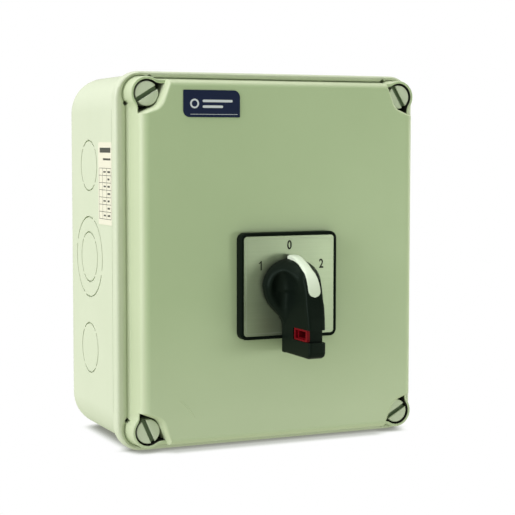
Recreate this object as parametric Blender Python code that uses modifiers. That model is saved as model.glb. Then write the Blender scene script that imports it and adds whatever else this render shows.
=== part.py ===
"""Enclosed rotary isolator, three positions 1-0-2, as an assembly.

Frame: X to the right, Y into the wall (the front faces -Y), Z up, origin at
the centre of the enclosure's back face. Blender units are metres; every size
here is in millimetres and is scaled once, in the helpers.
"""
import math

import bmesh
import bpy
from mathutils import Matrix, Vector

for old_object in list(bpy.data.objects):
    bpy.data.objects.remove(old_object, do_unlink=True)

MM = 0.001

# ---------------------------------------------------------------- dimensions (mm)
# enclosure base
RIM_HALF_X, RIM_HALF_Z = 75.0, 84.5
RIM_RADIUS = 12.0                 # corners, seen from the front
RIM_REAR_Y, RIM_FRONT_Y = -66.0, -71.0
BODY_HALF_X, BODY_HALF_Z = 74.6, 83.9   # the body behind the rim
BODY_RADIUS = 17.0
BODY_FRONT_Y = -68.0
REAR_ROUNDING = 8.0
WALL = 2.5
BACK = 3.0
FLANGE_REAR_Y = -62.0             # inner flange that carries the gasket
FLANGE_FRONT_Y = RIM_REAR_Y

# enclosure cover
COVER_REAR_Y, CREASE_Y = -68.3, -71.9
SKIRT_HALF_X, SKIRT_HALF_Z = 69.8, 81.8   # outline at the crease
PANEL_HALF_X, PANEL_HALF_Z = 67.9, 80.7   # outline at the front
PANEL_Y = -84.5                   # front of the cover
EAR_RADIUS, EAR_FILLET = 8.2, 4.0  # ears at the crease
EAR_OUTSIDE = dict(half_x=68.4, half_z=80.5, radius=7.5, fillet=5.0)
EAR_INSIDE = dict(half_x=67.1, half_z=78.8, radius=6.2, fillet=6.3)
EAR_FRONT_Y = -79.3
BITE_X, BITE_Z, BITE_RADIUS = 69.7, 79.8, 14.4   # round corner cut of the panel
POCKET_Y = -70.2                  # floor of the ear pockets
THROUGH_Y = -95.0                 # clear of the cover's front, for cutters

# cover screws
SCREW_X, SCREW_Z = 63.0, 74.5
SCREW_HEAD_RADIUS, SCREW_HEAD_Y = 5.45, -78.8
SLOT_WIDTH, SLOT_DEPTH = 2.0, 1.8
SLOT_ANGLE = {"tl": 31.0, "tr": -59.0, "bl": -66.0, "br": 30.0}   # degrees
CORNERS = {"tl": (-1, 1), "tr": (1, 1), "bl": (-1, -1), "br": (1, -1)}   # signs of x, z

# switch axis and square front
AXIS_X, AXIS_Z = 1.2, -11.0
AXIS = (AXIS_X, AXIS_Z)
FRONT_HALF = 24.0                 # half of the 48 mm square
FRAME_REAR_Y, FRAME_FRONT_Y = -85.5, -89.3
FRONT_SCREW_OFFSET = 17.0         # in x and in z from the axis
HANDLE_REAR_Y, BOSS_FRONT_Y = -89.7, -98.0

# mounting rail and earth terminal
RAIL_SCREW_X = (-44.0, 46.4)
EARTH_X, EARTH_Z = EARTH = (36.0, -60.0)

# switch block
FOOT_FRONT_Y = -20.0
DECK_THICKNESS, DECK_GAP = 10.6, 0.3
DECK_PITCH = DECK_THICKNESS + DECK_GAP
DECK_COUNT = 3
DECK_REAR_Y = [FOOT_FRONT_Y - DECK_GAP - i * DECK_PITCH for i in range(DECK_COUNT)]
DETENT_REAR_Y = DECK_REAR_Y[-1] - DECK_PITCH
DECK_RADIUS = 3.0
CONTACT_ANGLES = {"common": 270.0, "supply_1": 150.0, "supply_2": 30.0}
TERMINAL_Y = -6.3                 # from the rear of the deck
TIE_OFFSET = 19.5                 # tie bolts, in x and in z from the axis
TIE_HOLE_RADIUS = 2.1
BORE_HALF = 3.0                   # square bore of the parts on the shaft

# ---------------------------------------------------------------- collections
PARTS = bpy.data.collections.new("rotary_isolator_switch")
CUTTERS = bpy.data.collections.new("cutters")
bpy.context.scene.collection.children.link(PARTS)
bpy.context.scene.collection.children.link(CUTTERS)

MATERIALS = {}


def material(name, color, roughness, metallic=0.0):
    mat = bpy.data.materials.new(name)
    mat.use_nodes = True
    shader = mat.node_tree.nodes["Principled BSDF"]
    shader.inputs["Base Color"].default_value = (*color, 1.0)
    shader.inputs["Roughness"].default_value = roughness
    shader.inputs["Metallic"].default_value = metallic
    MATERIALS[name] = mat


material("box_plastic", color=(0.50, 0.58, 0.42), roughness=0.45)
material("cover_plastic", color=(0.46, 0.55, 0.38), roughness=0.42)
material("black_plastic", color=(0.010, 0.012, 0.010), roughness=0.32)
material("white_plastic", color=(0.80, 0.86, 0.76), roughness=0.40)
material("red_plastic", color=(0.45, 0.01, 0.015), roughness=0.35)
material("silver_plate", color=(0.42, 0.46, 0.38), roughness=0.38, metallic=0.5)
material("screw_plastic", color=(0.42, 0.50, 0.38), roughness=0.45)
material("navy_badge", color=(0.012, 0.02, 0.09), roughness=0.35)
material("paper_label", color=(0.80, 0.80, 0.76), roughness=0.55)
material("rubber", color=(0.02, 0.02, 0.02), roughness=0.7)
material("deck_plastic", color=(0.06, 0.06, 0.065), roughness=0.45)
material("rotor_plastic", color=(0.55, 0.50, 0.40), roughness=0.5)
material("zinc_steel", color=(0.62, 0.62, 0.60), roughness=0.35, metallic=1.0)
material("brass", color=(0.65, 0.45, 0.15), roughness=0.35, metallic=1.0)
material("copper", color=(0.70, 0.36, 0.20), roughness=0.35, metallic=1.0)


# ---------------------------------------------------------------- places
def at_corners(x, z):
    """(corner key, centre) of a place repeated in all four corners."""
    return [(key, (sign_x * x, sign_z * z)) for key, (sign_x, sign_z) in CORNERS.items()]


def diagonal_pair(offset):
    """Upper left and lower right of the switch axis."""
    return [(AXIS_X - offset, AXIS_Z + offset), (AXIS_X + offset, AXIS_Z - offset)]


def from_axis(points):
    """Points (x, z) measured from the switch axis."""
    return [(AXIS_X + x, AXIS_Z + z) for x, z in points]


def yz_from_axis(points):
    """Points (y, z) with z measured from the switch axis."""
    return [(y, AXIS_Z + z) for y, z in points]


def span(center, half):
    return center - half, center + half


def spin(angle, y=0.0, center=AXIS):
    """Places a piece drawn along +X at an angle round a Y axis."""
    return Matrix.Translation(Vector((center[0], y, center[1])) * MM) @ \
        Matrix.Rotation(-math.radians(angle), 4, "Y")


def deck_shift(i):
    """From the first deck to deck i."""
    return Matrix.Translation((0, (DECK_REAR_Y[i] - DECK_REAR_Y[0]) * MM, 0))


# ---------------------------------------------------------------- outlines
def arc(center, radius, start, end, steps):
    """steps + 1 points between two angles, in degrees."""
    points = []
    for i in range(steps + 1):
        angle = math.radians(start + (end - start) * i / steps)
        points.append((center[0] + radius * math.cos(angle),
                       center[1] + radius * math.sin(angle)))
    return points


def circle(center, radius, count, phase=0.0):
    return [(center[0] + radius * math.cos(2 * math.pi * i / count + phase),
             center[1] + radius * math.sin(2 * math.pi * i / count + phase))
            for i in range(count)]


def rounded_rect(half_x, half_z, radius, steps, center=(0.0, 0.0)):
    points = []
    for sign_x, sign_z, start in ((1, 1, 0), (-1, 1, 90), (-1, -1, 180), (1, -1, 270)):
        corner = (center[0] + sign_x * (half_x - radius),
                  center[1] + sign_z * (half_z - radius))
        points += arc(corner, radius, start, start + 90, steps)
    return points


def four_corners(quarter):
    """Mirrors a quarter outline in +X +Z, from the right side to the top."""
    return (list(quarter)
            + [(-x, z) for x, z in reversed(quarter)]
            + [(-x, -z) for x, z in quarter]
            + [(x, -z) for x, z in reversed(quarter)])


def eared(half_x, half_z, radius, fillet):
    """Rectangle with a round, filleted ear at each cover screw."""
    reach = radius + fillet
    side_x = half_x + fillet
    side_z = SCREW_Z - math.sqrt(reach ** 2 - (side_x - SCREW_X) ** 2)
    top_z = half_z + fillet
    top_x = SCREW_X - math.sqrt(reach ** 2 - (top_z - SCREW_Z) ** 2)
    side_angle = math.degrees(math.atan2(side_z - SCREW_Z, side_x - SCREW_X))
    top_angle = math.degrees(math.atan2(top_z - SCREW_Z, top_x - SCREW_X))
    quarter = arc((side_x, side_z), fillet, 180.0, 180.0 + side_angle, 2)
    quarter += arc((SCREW_X, SCREW_Z), radius, side_angle, top_angle, 8)[1:-1]
    quarter += arc((top_x, top_z), fillet, top_angle + 180.0, 270.0, 2)
    return four_corners(quarter)


def cover_outline(offset=0.0):
    """The cover at the crease, offset outwards."""
    return eared(SKIRT_HALF_X + offset, SKIRT_HALF_Z + offset,
                 EAR_RADIUS + offset, EAR_FILLET - offset)


def bitten_rect(half_x, half_z, bite_x, bite_z, radius, steps=4):
    """Rectangle with a round bite taken out round a point in each corner."""
    side_z = bite_z - math.sqrt(radius * radius - (half_x - bite_x) ** 2)
    top_x = bite_x - math.sqrt(radius * radius - (half_z - bite_z) ** 2)
    start = math.degrees(math.atan2(side_z - bite_z, half_x - bite_x)) % 360.0
    end = math.degrees(math.atan2(half_z - bite_z, top_x - bite_x)) % 360.0
    return four_corners(arc((bite_x, bite_z), radius, start, end, steps))


def clip(subject, convex):
    """Part of the subject outline inside a convex, counter-clockwise one."""
    clipped = list(subject)
    for i, (ax, az) in enumerate(convex):
        bx, bz = convex[(i + 1) % len(convex)]
        source, clipped = clipped, []
        # positive on the inner side of the edge a-b
        sides = [(bx - ax) * (z - az) - (bz - az) * (x - ax) for x, z in source]
        for j, (x, z) in enumerate(source):
            following = (j + 1) % len(source)
            side, next_side = sides[j], sides[following]
            if side >= 0:
                clipped.append((x, z))
            if (side >= 0) != (next_side >= 0):
                part = side / (side - next_side)
                next_x, next_z = source[following]
                clipped.append((x + part * (next_x - x), z + part * (next_z - z)))
    same_point = 1e-4
    clean = []
    for point in clipped:
        if not clean or math.dist(point, clean[-1]) > same_point:
            clean.append(point)
    if math.dist(clean[0], clean[-1]) < same_point:
        clean.pop()
    return clean


def stepped_profile(front_y, front_radius, step_y, rear_radius, rear_y):
    """Turning profile of two cylinders end to end, such as a head and a shank."""
    return [(0, front_y), (front_radius, front_y), (front_radius, step_y),
            (rear_radius, step_y), (rear_radius, rear_y), (0, rear_y)]


# ---------------------------------------------------------------- solids
# A solid with a material is a part; one without is a hidden cutter.
FRONT_FACING = Matrix(((1, 0, 0, 0), (0, 0, -1, 0), (0, 1, 0, 0), (0, 0, 0, 1)))
PLANES = {
    # plane of the outline: (its placement, the axis it is extruded along)
    "XZ": (FRONT_FACING, Vector((0, 1, 0))),
    "YZ": (Matrix(((0, 0, 1, 0), (1, 0, 0, 0), (0, 1, 0, 0), (0, 0, 0, 1))),
           Vector((1, 0, 0))),
    "XY": (Matrix.Identity(4), Vector((0, 0, 1))),
}


def evaluated_mesh(obj):
    bpy.context.view_layer.update()
    depsgraph = bpy.context.evaluated_depsgraph_get()
    return bpy.data.meshes.new_from_object(obj.evaluated_get(depsgraph))


def finish(name, mesh, mat, dissolve):
    """Weld, merge flat faces, point the faces out, and make the object."""
    mesh.name = name
    bm = bmesh.new()
    bm.from_mesh(mesh)
    bmesh.ops.remove_doubles(bm, verts=bm.verts, dist=1e-6)
    if dissolve:
        bmesh.ops.dissolve_limit(bm, angle_limit=math.radians(0.6),
                                 verts=bm.verts, edges=bm.edges)
    bmesh.ops.recalc_face_normals(bm, faces=bm.faces)
    bm.to_mesh(mesh)
    bm.free()
    obj = bpy.data.objects.new(name, mesh)
    if mat:
        PARTS.objects.link(obj)
        mesh.materials.append(MATERIALS[mat])
    else:
        CUTTERS.objects.link(obj)
        obj.hide_render = True
        obj.display_type = "WIRE"
    return obj


def prism(name, loops, start, end, plane="XZ", mat=None):
    """One outline, or a list of them (the first is outside, the rest are
    holes), extruded from start to end along the plane's normal."""
    if isinstance(loops[0][0], (int, float)):
        loops = [loops]
    curve = bpy.data.curves.new(name, "CURVE")
    curve.dimensions = "2D"
    curve.fill_mode = "BOTH"
    for outline in loops:
        spline = curve.splines.new("POLY")
        spline.points.add(len(outline) - 1)
        for point, (across, up) in zip(spline.points, outline):
            point.co = (across * MM, up * MM, 0.0, 1.0)
        spline.use_cyclic_u = True
    curve.extrude = abs(end - start) * MM / 2
    drawn = bpy.data.objects.new(name + "_curve", curve)
    CUTTERS.objects.link(drawn)
    placement, direction = PLANES[plane]
    middle = (start + end) / 2 * MM
    drawn.matrix_world = Matrix.Translation(direction * middle) @ placement
    mesh = evaluated_mesh(drawn)
    mesh.transform(drawn.matrix_world)
    bpy.data.objects.remove(drawn, do_unlink=True)
    return finish(name, mesh, mat, dissolve=len(loops) == 1)


def from_bmesh(name, bm, matrix, mat, dissolve):
    bmesh.ops.transform(bm, matrix=matrix, verts=bm.verts)
    mesh = bpy.data.meshes.new(name)
    bm.to_mesh(mesh)
    bm.free()
    return finish(name, mesh, mat, dissolve)


def box(name, x, y, z, mat=None):
    """Box from its (low, high) range on each axis."""
    bm = bmesh.new()
    bmesh.ops.create_cube(bm, size=1.0)
    center = Vector([(low + high) / 2 for low, high in (x, y, z)]) * MM
    size = [(high - low) * MM for low, high in (x, y, z)]
    matrix = Matrix.Translation(center) @ Matrix.Diagonal((*size, 1.0))
    return from_bmesh(name, bm, matrix, mat, dissolve=True)


def rod(name, center, radius, start, end, sides, axis="Y", mat=None):
    """Cylinder; center holds the two coordinates across the axis."""
    bm = bmesh.new()
    bmesh.ops.create_cone(bm, cap_ends=True, segments=sides, radius1=radius * MM,
                          radius2=radius * MM, depth=abs(end - start) * MM)
    middle = (start + end) / 2
    if axis == "Y":
        matrix = Matrix.Translation(Vector((center[0], middle, center[1])) * MM) @ \
            Matrix.Rotation(math.pi / 2, 4, "X")
    elif axis == "X":
        matrix = Matrix.Translation(Vector((middle, center[0], center[1])) * MM) @ \
            Matrix.Rotation(math.pi / 2, 4, "Y")
    else:
        matrix = Matrix.Translation(Vector((center[0], center[1], middle)) * MM)
    return from_bmesh(name, bm, matrix, mat, dissolve=False)


def turned(name, profile, center, steps, mat=None):
    """Solid of revolution about a Y axis, from a profile of (radius, y)."""
    mesh = bpy.data.meshes.new(name)
    # turned about the local Z axis, with the front on top
    mesh.from_pydata([(radius * MM, 0.0, -y * MM) for radius, y in profile],
                     [(i, i + 1) for i in range(len(profile) - 1)], [])
    drawn = bpy.data.objects.new(name + "_profile", mesh)
    CUTTERS.objects.link(drawn)
    screw = drawn.modifiers.new("turn", "SCREW")
    screw.axis = "Z"
    screw.steps = steps
    screw.use_merge_vertices = True
    screw.merge_threshold = 1e-5
    screw.use_smooth_shade = True
    solid = evaluated_mesh(drawn)
    bpy.data.objects.remove(drawn, do_unlink=True)
    solid.transform(Matrix.Translation(Vector((center[0], 0, center[1])) * MM)
                    @ FRONT_FACING)
    return finish(name, solid, mat, dissolve=False)


def combine(obj, tools, operation):
    for tool in tools:
        modifier = obj.modifiers.new("bool_" + tool.name, "BOOLEAN")
        modifier.operation = operation
        modifier.solver = "EXACT"
        modifier.object = tool


def cut(obj, *tools):
    combine(obj, tools, "DIFFERENCE")


def join(obj, *tools):
    combine(obj, tools, "UNION")


def bake(obj):
    """Bake the modifiers, so that copies can share the mesh."""
    mesh = evaluated_mesh(obj)
    obj.modifiers.clear()
    obj.data = mesh


def bevel_edges(obj, axis, planes, width, segments):
    """Bevel the edges that lie in any of the planes across the axis."""
    mesh = obj.data
    weights = mesh.attributes.new("bevel_weight_edge", "FLOAT", "EDGE")
    for edge in mesh.edges:
        ends = [getattr(mesh.vertices[i].co / MM, axis) for i in edge.vertices]
        if any(all(abs(end - plane) < 0.01 for end in ends) for plane in planes):
            weights.data[edge.index].value = 1.0
    modifier = obj.modifiers.new("edges", "BEVEL")
    modifier.limit_method = "WEIGHT"
    modifier.width = width * MM
    modifier.segments = segments
    modifier.use_clamp_overlap = True


def copy_of(source, name, matrix):
    obj = bpy.data.objects.new(name, source.data)
    obj.matrix_world = matrix
    PARTS.objects.link(obj)


# ================================================================ enclosure
def build_base():
    base = prism("enclosure_base", rounded_rect(BODY_HALF_X, BODY_HALF_Z, BODY_RADIUS, 6),
                 0.0, BODY_FRONT_Y, mat="box_plastic")
    bevel_edges(base, "y", [0.0], REAR_ROUNDING, segments=3)
    rim = prism("base_rim", rounded_rect(RIM_HALF_X, RIM_HALF_Z, RIM_RADIUS, 5),
                RIM_REAR_Y, RIM_FRONT_Y)
    bevel_edges(rim, "y", [RIM_FRONT_Y], 1.3, segments=3)
    join(base, rim)
    hollow = prism("base_hollow",
                   rounded_rect(BODY_HALF_X - WALL, BODY_HALF_Z - WALL, BODY_RADIUS - WALL, 4),
                   -BACK, FLANGE_REAR_Y)
    bevel_edges(hollow, "y", [-BACK], 5.5, segments=2)
    clear_y = -80.0
    # opening inside the flange, set back from each screw
    mouth = prism("base_mouth", bitten_rect(63.5, 75.7, SCREW_X, SCREW_Z, 15.0),
                  FLANGE_REAR_Y + 1.0, clear_y)
    cover_clearance = 0.4
    recess = prism("base_recess", cover_outline(cover_clearance), FLANGE_FRONT_Y, clear_y)
    cut(base, hollow, mouth, recess)
    add_pillars(base, clear_y)
    add_bosses(base)
    cut_knockouts(base)


def add_pillars(base, clear_y):
    """Screw pillars, wall fixing holes and drain notches in each corner."""
    pillar_radius, bore_radius = 6.0, 4.0
    fixing_x, fixing_z, fixing_radius = 50.0, 62.0, 2.6
    drain_places = ((70.1, 70.3), (58.8, 82.1))
    drain = 1.3                   # half diagonal of a notch
    for key, center in at_corners(SCREW_X, SCREW_Z):
        join(base, rod("pillar_" + key, center, pillar_radius, -4.2, -67.4, 14))
    for key, (sign_x, sign_z) in CORNERS.items():
        cut(base,
            rod("pillar_bore_" + key, (sign_x * SCREW_X, sign_z * SCREW_Z), bore_radius,
                -44.0, clear_y, 10),
            rod("fixing_hole_" + key, (sign_x * fixing_x, sign_z * fixing_z),
                fixing_radius, 1.0, -5.0, 8))
        # water-drain notches where each ear leaves the rim
        for i, (x, z) in enumerate(drain_places):
            diamond = [(sign_x * x + shift_x, sign_z * z + shift_z) for shift_x, shift_z
                       in ((drain, 0), (0, drain), (-drain, 0), (0, -drain))]
            cut(base, prism("drain_%s_%d" % (key, i), diamond, -66.6, clear_y))


def add_bosses(base):
    """Bosses on the back wall under the rail screws and the earth terminal."""
    rail_centers = [(x, AXIS_Z) for x in RAIL_SCREW_X]
    rear_y, hole_radius, hole_range = -2.0, 1.9, (-1.4, -8.0)
    for i, center in enumerate(rail_centers):
        join(base, rod("rail_boss_%d" % i, center, 5.0, rear_y, -5.0, 12))
    join(base, rod("earth_boss", EARTH, 4.0, rear_y, -6.0, 12))
    for i, center in enumerate(rail_centers):
        cut(base, rod("rail_boss_hole_%d" % i, center, hole_radius, *hole_range, 8))
    cut(base, rod("earth_boss_hole", EARTH, hole_radius, *hole_range, 8))


def cut_knockouts(base):
    """Shallow ring grooves in the left, right, bottom and top walls."""
    groove = 0.7                  # width and depth
    ring_y = -32.8
    small, large = 11.5, 18.5
    side_rings = ((42.5, (small,)), (0.4, (small, large)), (-42.0, (small,)))

    def ring(name, center, radius, count, start, end, plane):
        cut(base, prism(name, [circle(center, radius, count),
                               circle(center, radius - groove, count)], start, end, plane))

    for side in (-1, 1):
        for i, (z, radii) in enumerate(side_rings):
            for radius in radii:
                ring("knockout_%d_%d_%d" % (side, i, int(radius)), (ring_y, z), radius, 16,
                     side * (BODY_HALF_X - groove), side * 76.0, "YZ")
        for i, x in enumerate((-36.0, 36.0)):
            ring("knockout_end_%d_%d" % (side, i), (x, ring_y), small, 14,
                 side * (BODY_HALF_Z - groove), side * 87.0, "XY")


def build_cover():
    cover = prism("enclosure_cover", cover_outline(), COVER_REAR_Y, CREASE_Y,
                  mat="cover_plastic")
    panel = prism("cover_panel", rounded_rect(PANEL_HALF_X, PANEL_HALF_Z, 4.0, 2),
                  -69.5, PANEL_Y)
    step = 0.3                    # the panel's rear stands inside the skirt
    for vertex in panel.data.vertices:
        if vertex.co.y > -70.0 * MM:      # draft: wider at the crease
            vertex.co.x *= (SKIRT_HALF_X - step) / PANEL_HALF_X
            vertex.co.z *= (SKIRT_HALF_Z - step) / PANEL_HALF_Z
    bevel_edges(panel, "y", [PANEL_Y], 2.2, segments=2)
    join(cover, panel)
    bites = at_corners(BITE_X, BITE_Z)
    ear_overlap, pocket_gap = 2.0, 0.05
    for key, center in bites:
        disc = circle(center, BITE_RADIUS + ear_overlap, 28)
        join(cover, prism("ear_" + key, clip(eared(**EAR_OUTSIDE), disc), -69.6, EAR_FRONT_Y))
    for key, center in bites:
        corner_cut = rod("corner_cut_" + key, center, BITE_RADIUS, EAR_FRONT_Y, THROUGH_Y, 32)
        disc = circle(center, BITE_RADIUS - pocket_gap, 32)
        pocket = prism("pocket_" + key, clip(eared(**EAR_INSIDE), disc), POCKET_Y, THROUGH_Y)
        cut(cover, corner_cut, pocket)
    cut(cover, prism("cover_hollow", bitten_rect(65.2, 77.4, BITE_X, BITE_Z, 16.5),
                     -60.0, -82.0))
    for key, center in at_corners(SCREW_X, SCREW_Z):
        cut(cover, rod("cover_screw_hole_" + key, center, 3.6, -60.0, -75.0, 12))
    cut(cover, rod("shaft_hole", AXIS, 9.0, -75.0, -90.0, 20))
    for i, center in enumerate(diagonal_pair(FRONT_SCREW_OFFSET)):
        cut(cover, rod("front_screw_hole_%d" % i, center, 2.3, -75.0, -90.0, 8))


def build_cover_gasket():
    width = 2.4
    half_x, half_z, bite = 68.2, 80.4, 7.9
    prism("cover_gasket",
          [bitten_rect(half_x, half_z, SCREW_X, SCREW_Z, bite, 5),
           bitten_rect(65.8, 78.0, SCREW_X, SCREW_Z, bite + 2.5, 5)]
          if width is None else
          [bitten_rect(half_x, half_z, SCREW_X, SCREW_Z, bite, 5),
           bitten_rect(half_x - width, half_z - width, SCREW_X, SCREW_Z, 10.4, 5)],
          -66.3, -68.0, mat="rubber")


def build_cover_screws():
    """One quarter-turn screw in each ear."""
    chamfer = 0.3
    shank_radius, head_rear_y, end_y = 3.2, -70.6, -49.0
    profile = [(0, SCREW_HEAD_Y), (SCREW_HEAD_RADIUS - chamfer, SCREW_HEAD_Y),
               (SCREW_HEAD_RADIUS, SCREW_HEAD_Y + chamfer),
               (SCREW_HEAD_RADIUS, head_rear_y), (shank_radius, head_rear_y),
               (shank_radius, end_y), (0, end_y)]
    for key, center in at_corners(SCREW_X, SCREW_Z):
        screw = turned("cover_screw_" + key, profile, center, 18, mat="screw_plastic")
        slot = box("slot_" + key, (-8, 8), (-80.5, SCREW_HEAD_Y + SLOT_DEPTH),
                   span(0, SLOT_WIDTH / 2))
        slot.matrix_world = spin(SLOT_ANGLE[key], center=center)
        cut(screw, slot)


def build_labels():
    """Rating label on the left side and name badge on the cover."""
    prism("rating_label", rounded_rect(9.25, 18.45, 0.8, 2, center=(-56.5, 34.75)),
          -BODY_HALF_X - 0.1, -BODY_HALF_X - 0.35, plane="YZ", mat="paper_label")
    left, right, bottom, top = -48.3, -21.3, 64.2, 76.1
    large, small = 3.0, 0.3       # corner radii, alternating
    outline = (arc((left + large, bottom + large), large, 180, 270, 4)
               + arc((right - small, bottom + small), small, 270, 360, 1)
               + arc((right - large, top - large), large, 0, 90, 4)
               + arc((left + small, top - small), small, 90, 180, 1))
    prism("name_badge", outline, -84.65, -85.25, mat="navy_badge")


# ================================================================ square front
def build_front():
    """Frame, face plate, gasket and screws round the handle."""
    screws = diagonal_pair(FRONT_SCREW_OFFSET)
    frame = prism("escutcheon_frame", rounded_rect(FRONT_HALF, FRONT_HALF, 3.2, 5, AXIS),
                  FRAME_REAR_Y, FRAME_FRONT_Y, mat="black_plastic")
    bevel_edges(frame, "y", [FRAME_FRONT_Y], 0.7, segments=2)
    recess_half, plate_gap = 22.75, 0.3
    cut(frame,
        prism("plate_recess", rounded_rect(recess_half, recess_half, 1.8, 3, AXIS),
              -88.1, -92.0),
        rod("spigot_bore", AXIS, 7.4, -80.0, -95.0, 24))
    for i, center in enumerate(screws):
        cut(frame, rod("front_thread_%d" % i, center, 2.2, -84.0, -87.4, 12))
    plate_half = recess_half - plate_gap
    prism("escutcheon_plate",
          [rounded_rect(plate_half, plate_half, 1.6, 3, AXIS), circle(AXIS, 7.6, 24)],
          -88.4, -89.0, mat="silver_plate")
    prism("escutcheon_gasket",
          [rounded_rect(23.0, 23.0, 2.8, 4, AXIS), circle(AXIS, 8.6, 24)]
          + [circle(center, 2.4, 10) for center in screws],
          -84.7, -85.3, mat="rubber")
    # driven from behind the cover, so the head is at the rear
    profile = stepped_profile(-87.0, 1.8, -81.7, 3.6, -79.4)
    for i, center in enumerate(screws):
        turned("front_screw_%d" % (i + 1), profile, center, 10, mat="zinc_steel")


# ================================================================ handle
BLADE_HALF = 4.4                  # half width of the ridge
# side outlines of the ridge: (y, z from the switch axis)
RIDGE_TOP = [(-92.0, 13.1), (-95.6, 13.1), (-98.8, 12.6), (-101.8, 11.7), (-105.0, 10.2),
             (-108.4, 7.8), (-111.4, 4.6), (-113.3, 1.1), (-114.6, -3.7)]
RIDGE = RIDGE_TOP + [(-116.3, -11.0), (-117.5, -18.0), (-117.5, -27.6), (-116.3, -30.2),
                     (-113.5, -31.3), (-92.0, -29.4)]
# paths along the ridge of the pointer groove and of the pointer in it
GROOVE_PATH = [(-88.0, 13.1)] + RIDGE_TOP[1:] + [(-115.0, -5.6)]
POINTER_PATH = [(-90.2, 13.1)] + RIDGE_TOP[1:-1] + [(-114.5, -3.3)]


def teardrop(radius, tail_half, tail_z):
    """Circle with tangents to a narrower, chamfered tail."""
    chamfer = 1.5
    slope = math.degrees(math.asin((radius - tail_half) / (radius - tail_z)))
    return from_axis(arc((0, 0), radius, -slope, 180 + slope, 20) + [
        (-tail_half, tail_z + chamfer), (-tail_half + chamfer, tail_z),
        (tail_half - chamfer, tail_z), (tail_half, tail_z + chamfer)])


def offset_path(path, distance):
    """A (y, z) path moved to its outer side, up and forwards."""
    points = []
    for i, (y, z) in enumerate(path):
        y_before, z_before = path[max(i - 1, 0)]
        y_after, z_after = path[min(i + 1, len(path) - 1)]
        length = math.hypot(y_after - y_before, z_after - z_before)
        points.append((y + distance * (z_after - z_before) / length,
                       z - distance * (y_after - y_before) / length))
    return points


def strip(path, inner, outer):
    return yz_from_axis(offset_path(path, outer) + offset_path(path, inner)[::-1])


def build_handle():
    """Round boss with a tapered tail, a tall ridge across it and a spigot behind."""
    handle = prism("handle", teardrop(13.2, 4.3, -29.8), HANDLE_REAR_Y, BOSS_FRONT_Y,
                   mat="black_plastic")
    bevel_edges(handle, "y", [BOSS_FRONT_Y], 2.4, segments=3)
    blade_sides = span(AXIS_X, BLADE_HALF)
    blade = prism("handle_blade", yz_from_axis(RIDGE), *blade_sides, plane="YZ")
    bevel_edges(blade, "x", blade_sides, 1.2, segments=2)
    dome = turned("handle_dome", [(0, -103.6), (5.5, -102.9), (9.0, -100.8), (11.4, -97.6),
                                  (11.4, -93.0), (0, -93.0)], AXIS, 28)
    # spigot with a groove for the clip
    spigot = turned("handle_spigot", [(0, -92.0), (7.0, -92.0), (7.0, -82.0), (6.2, -82.0),
                                      (6.2, -80.6), (7.0, -80.6), (7.0, -79.4), (0, -79.4)],
                    AXIS, 24)
    join(handle, blade, dome, spigot)
    socket_half, cavity_half, across_half = 3.1, 2.9, 20
    across = span(AXIS_X, across_half)
    cut(handle,
        box("shaft_socket", span(AXIS_X, socket_half), (-104.0, -70.0),
            span(AXIS_Z, socket_half)),
        box("lock_cavity", span(AXIS_X, cavity_half), (-130.0, -80.0),
            (AXIS_Z - 25.3, AXIS_Z - 17.1)),
        box("lock_window", across, (-112.6, -98.0), (AXIS_Z - 24.2, AXIS_Z - 18.2)),
        box("lock_thumb_notch", across, (-130.0, -113.4), (AXIS_Z - 25.7, AXIS_Z - 17.6)),
        prism("pointer_groove", strip(GROOVE_PATH, -1.25, 2.0), *span(AXIS_X, 2.9),
              plane="YZ"))


def build_handle_fittings():
    """Pointer, padlock slide, retaining clip and shaft seal."""
    half_width = 2.6
    prism("handle_pointer", strip(POINTER_PATH, -0.9, 0.45), *span(AXIS_X, half_width),
          plane="YZ", mat="white_plastic")
    slide = box("padlock_slide", span(AXIS_X, half_width), (-113.0, -93.4),
                (AXIS_Z - 25.0, AXIS_Z - 17.4), mat="red_plastic")
    cut(slide, box("slide_window", span(AXIS_X, 10), (-110.8, -99.2),
                   (AXIS_Z - 23.4, AXIS_Z - 19.0)))
    prism("handle_clip", [circle(AXIS, 9.6, 20), circle(AXIS, 6.5, 20)], -80.85, -81.6,
          mat="zinc_steel")
    outer, inner, front_y, rear_y = 8.6, 7.3, -83.9, -82.4
    turned("shaft_seal", [(outer, front_y), (outer, rear_y), (inner, rear_y),
                          (inner, front_y), (outer, front_y)], AXIS, 16, mat="rubber")


# ================================================================ rail and earth
# 35 x 7.5 mm top-hat section: (y, z from the switch axis)
RAIL_SECTION = [(-12.8, -17.5), (-12.8, -12.5), (-6.3, -12.5), (-6.3, 12.5),
                (-12.8, 12.5), (-12.8, 17.5), (-11.8, 17.5), (-11.8, 13.5),
                (-5.3, 13.5), (-5.3, -13.5), (-11.8, -13.5), (-11.8, -17.5)]


def build_rail():
    rail = prism("din_rail", yz_from_axis(RAIL_SECTION), -54.0, 56.4, plane="YZ",
                 mat="zinc_steel")
    profile = stepped_profile(-9.0, 3.5, -6.6, 1.6, -2.0)
    for i, (side, x) in enumerate(zip(("left", "right"), RAIL_SCREW_X)):
        center = (x, AXIS_Z)
        cut(rail, rod("rail_hole_%d" % i, center, 2.2, -3.0, -8.0, 12))
        turned("rail_screw_" + side, profile, center, 10, mat="zinc_steel")


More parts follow.
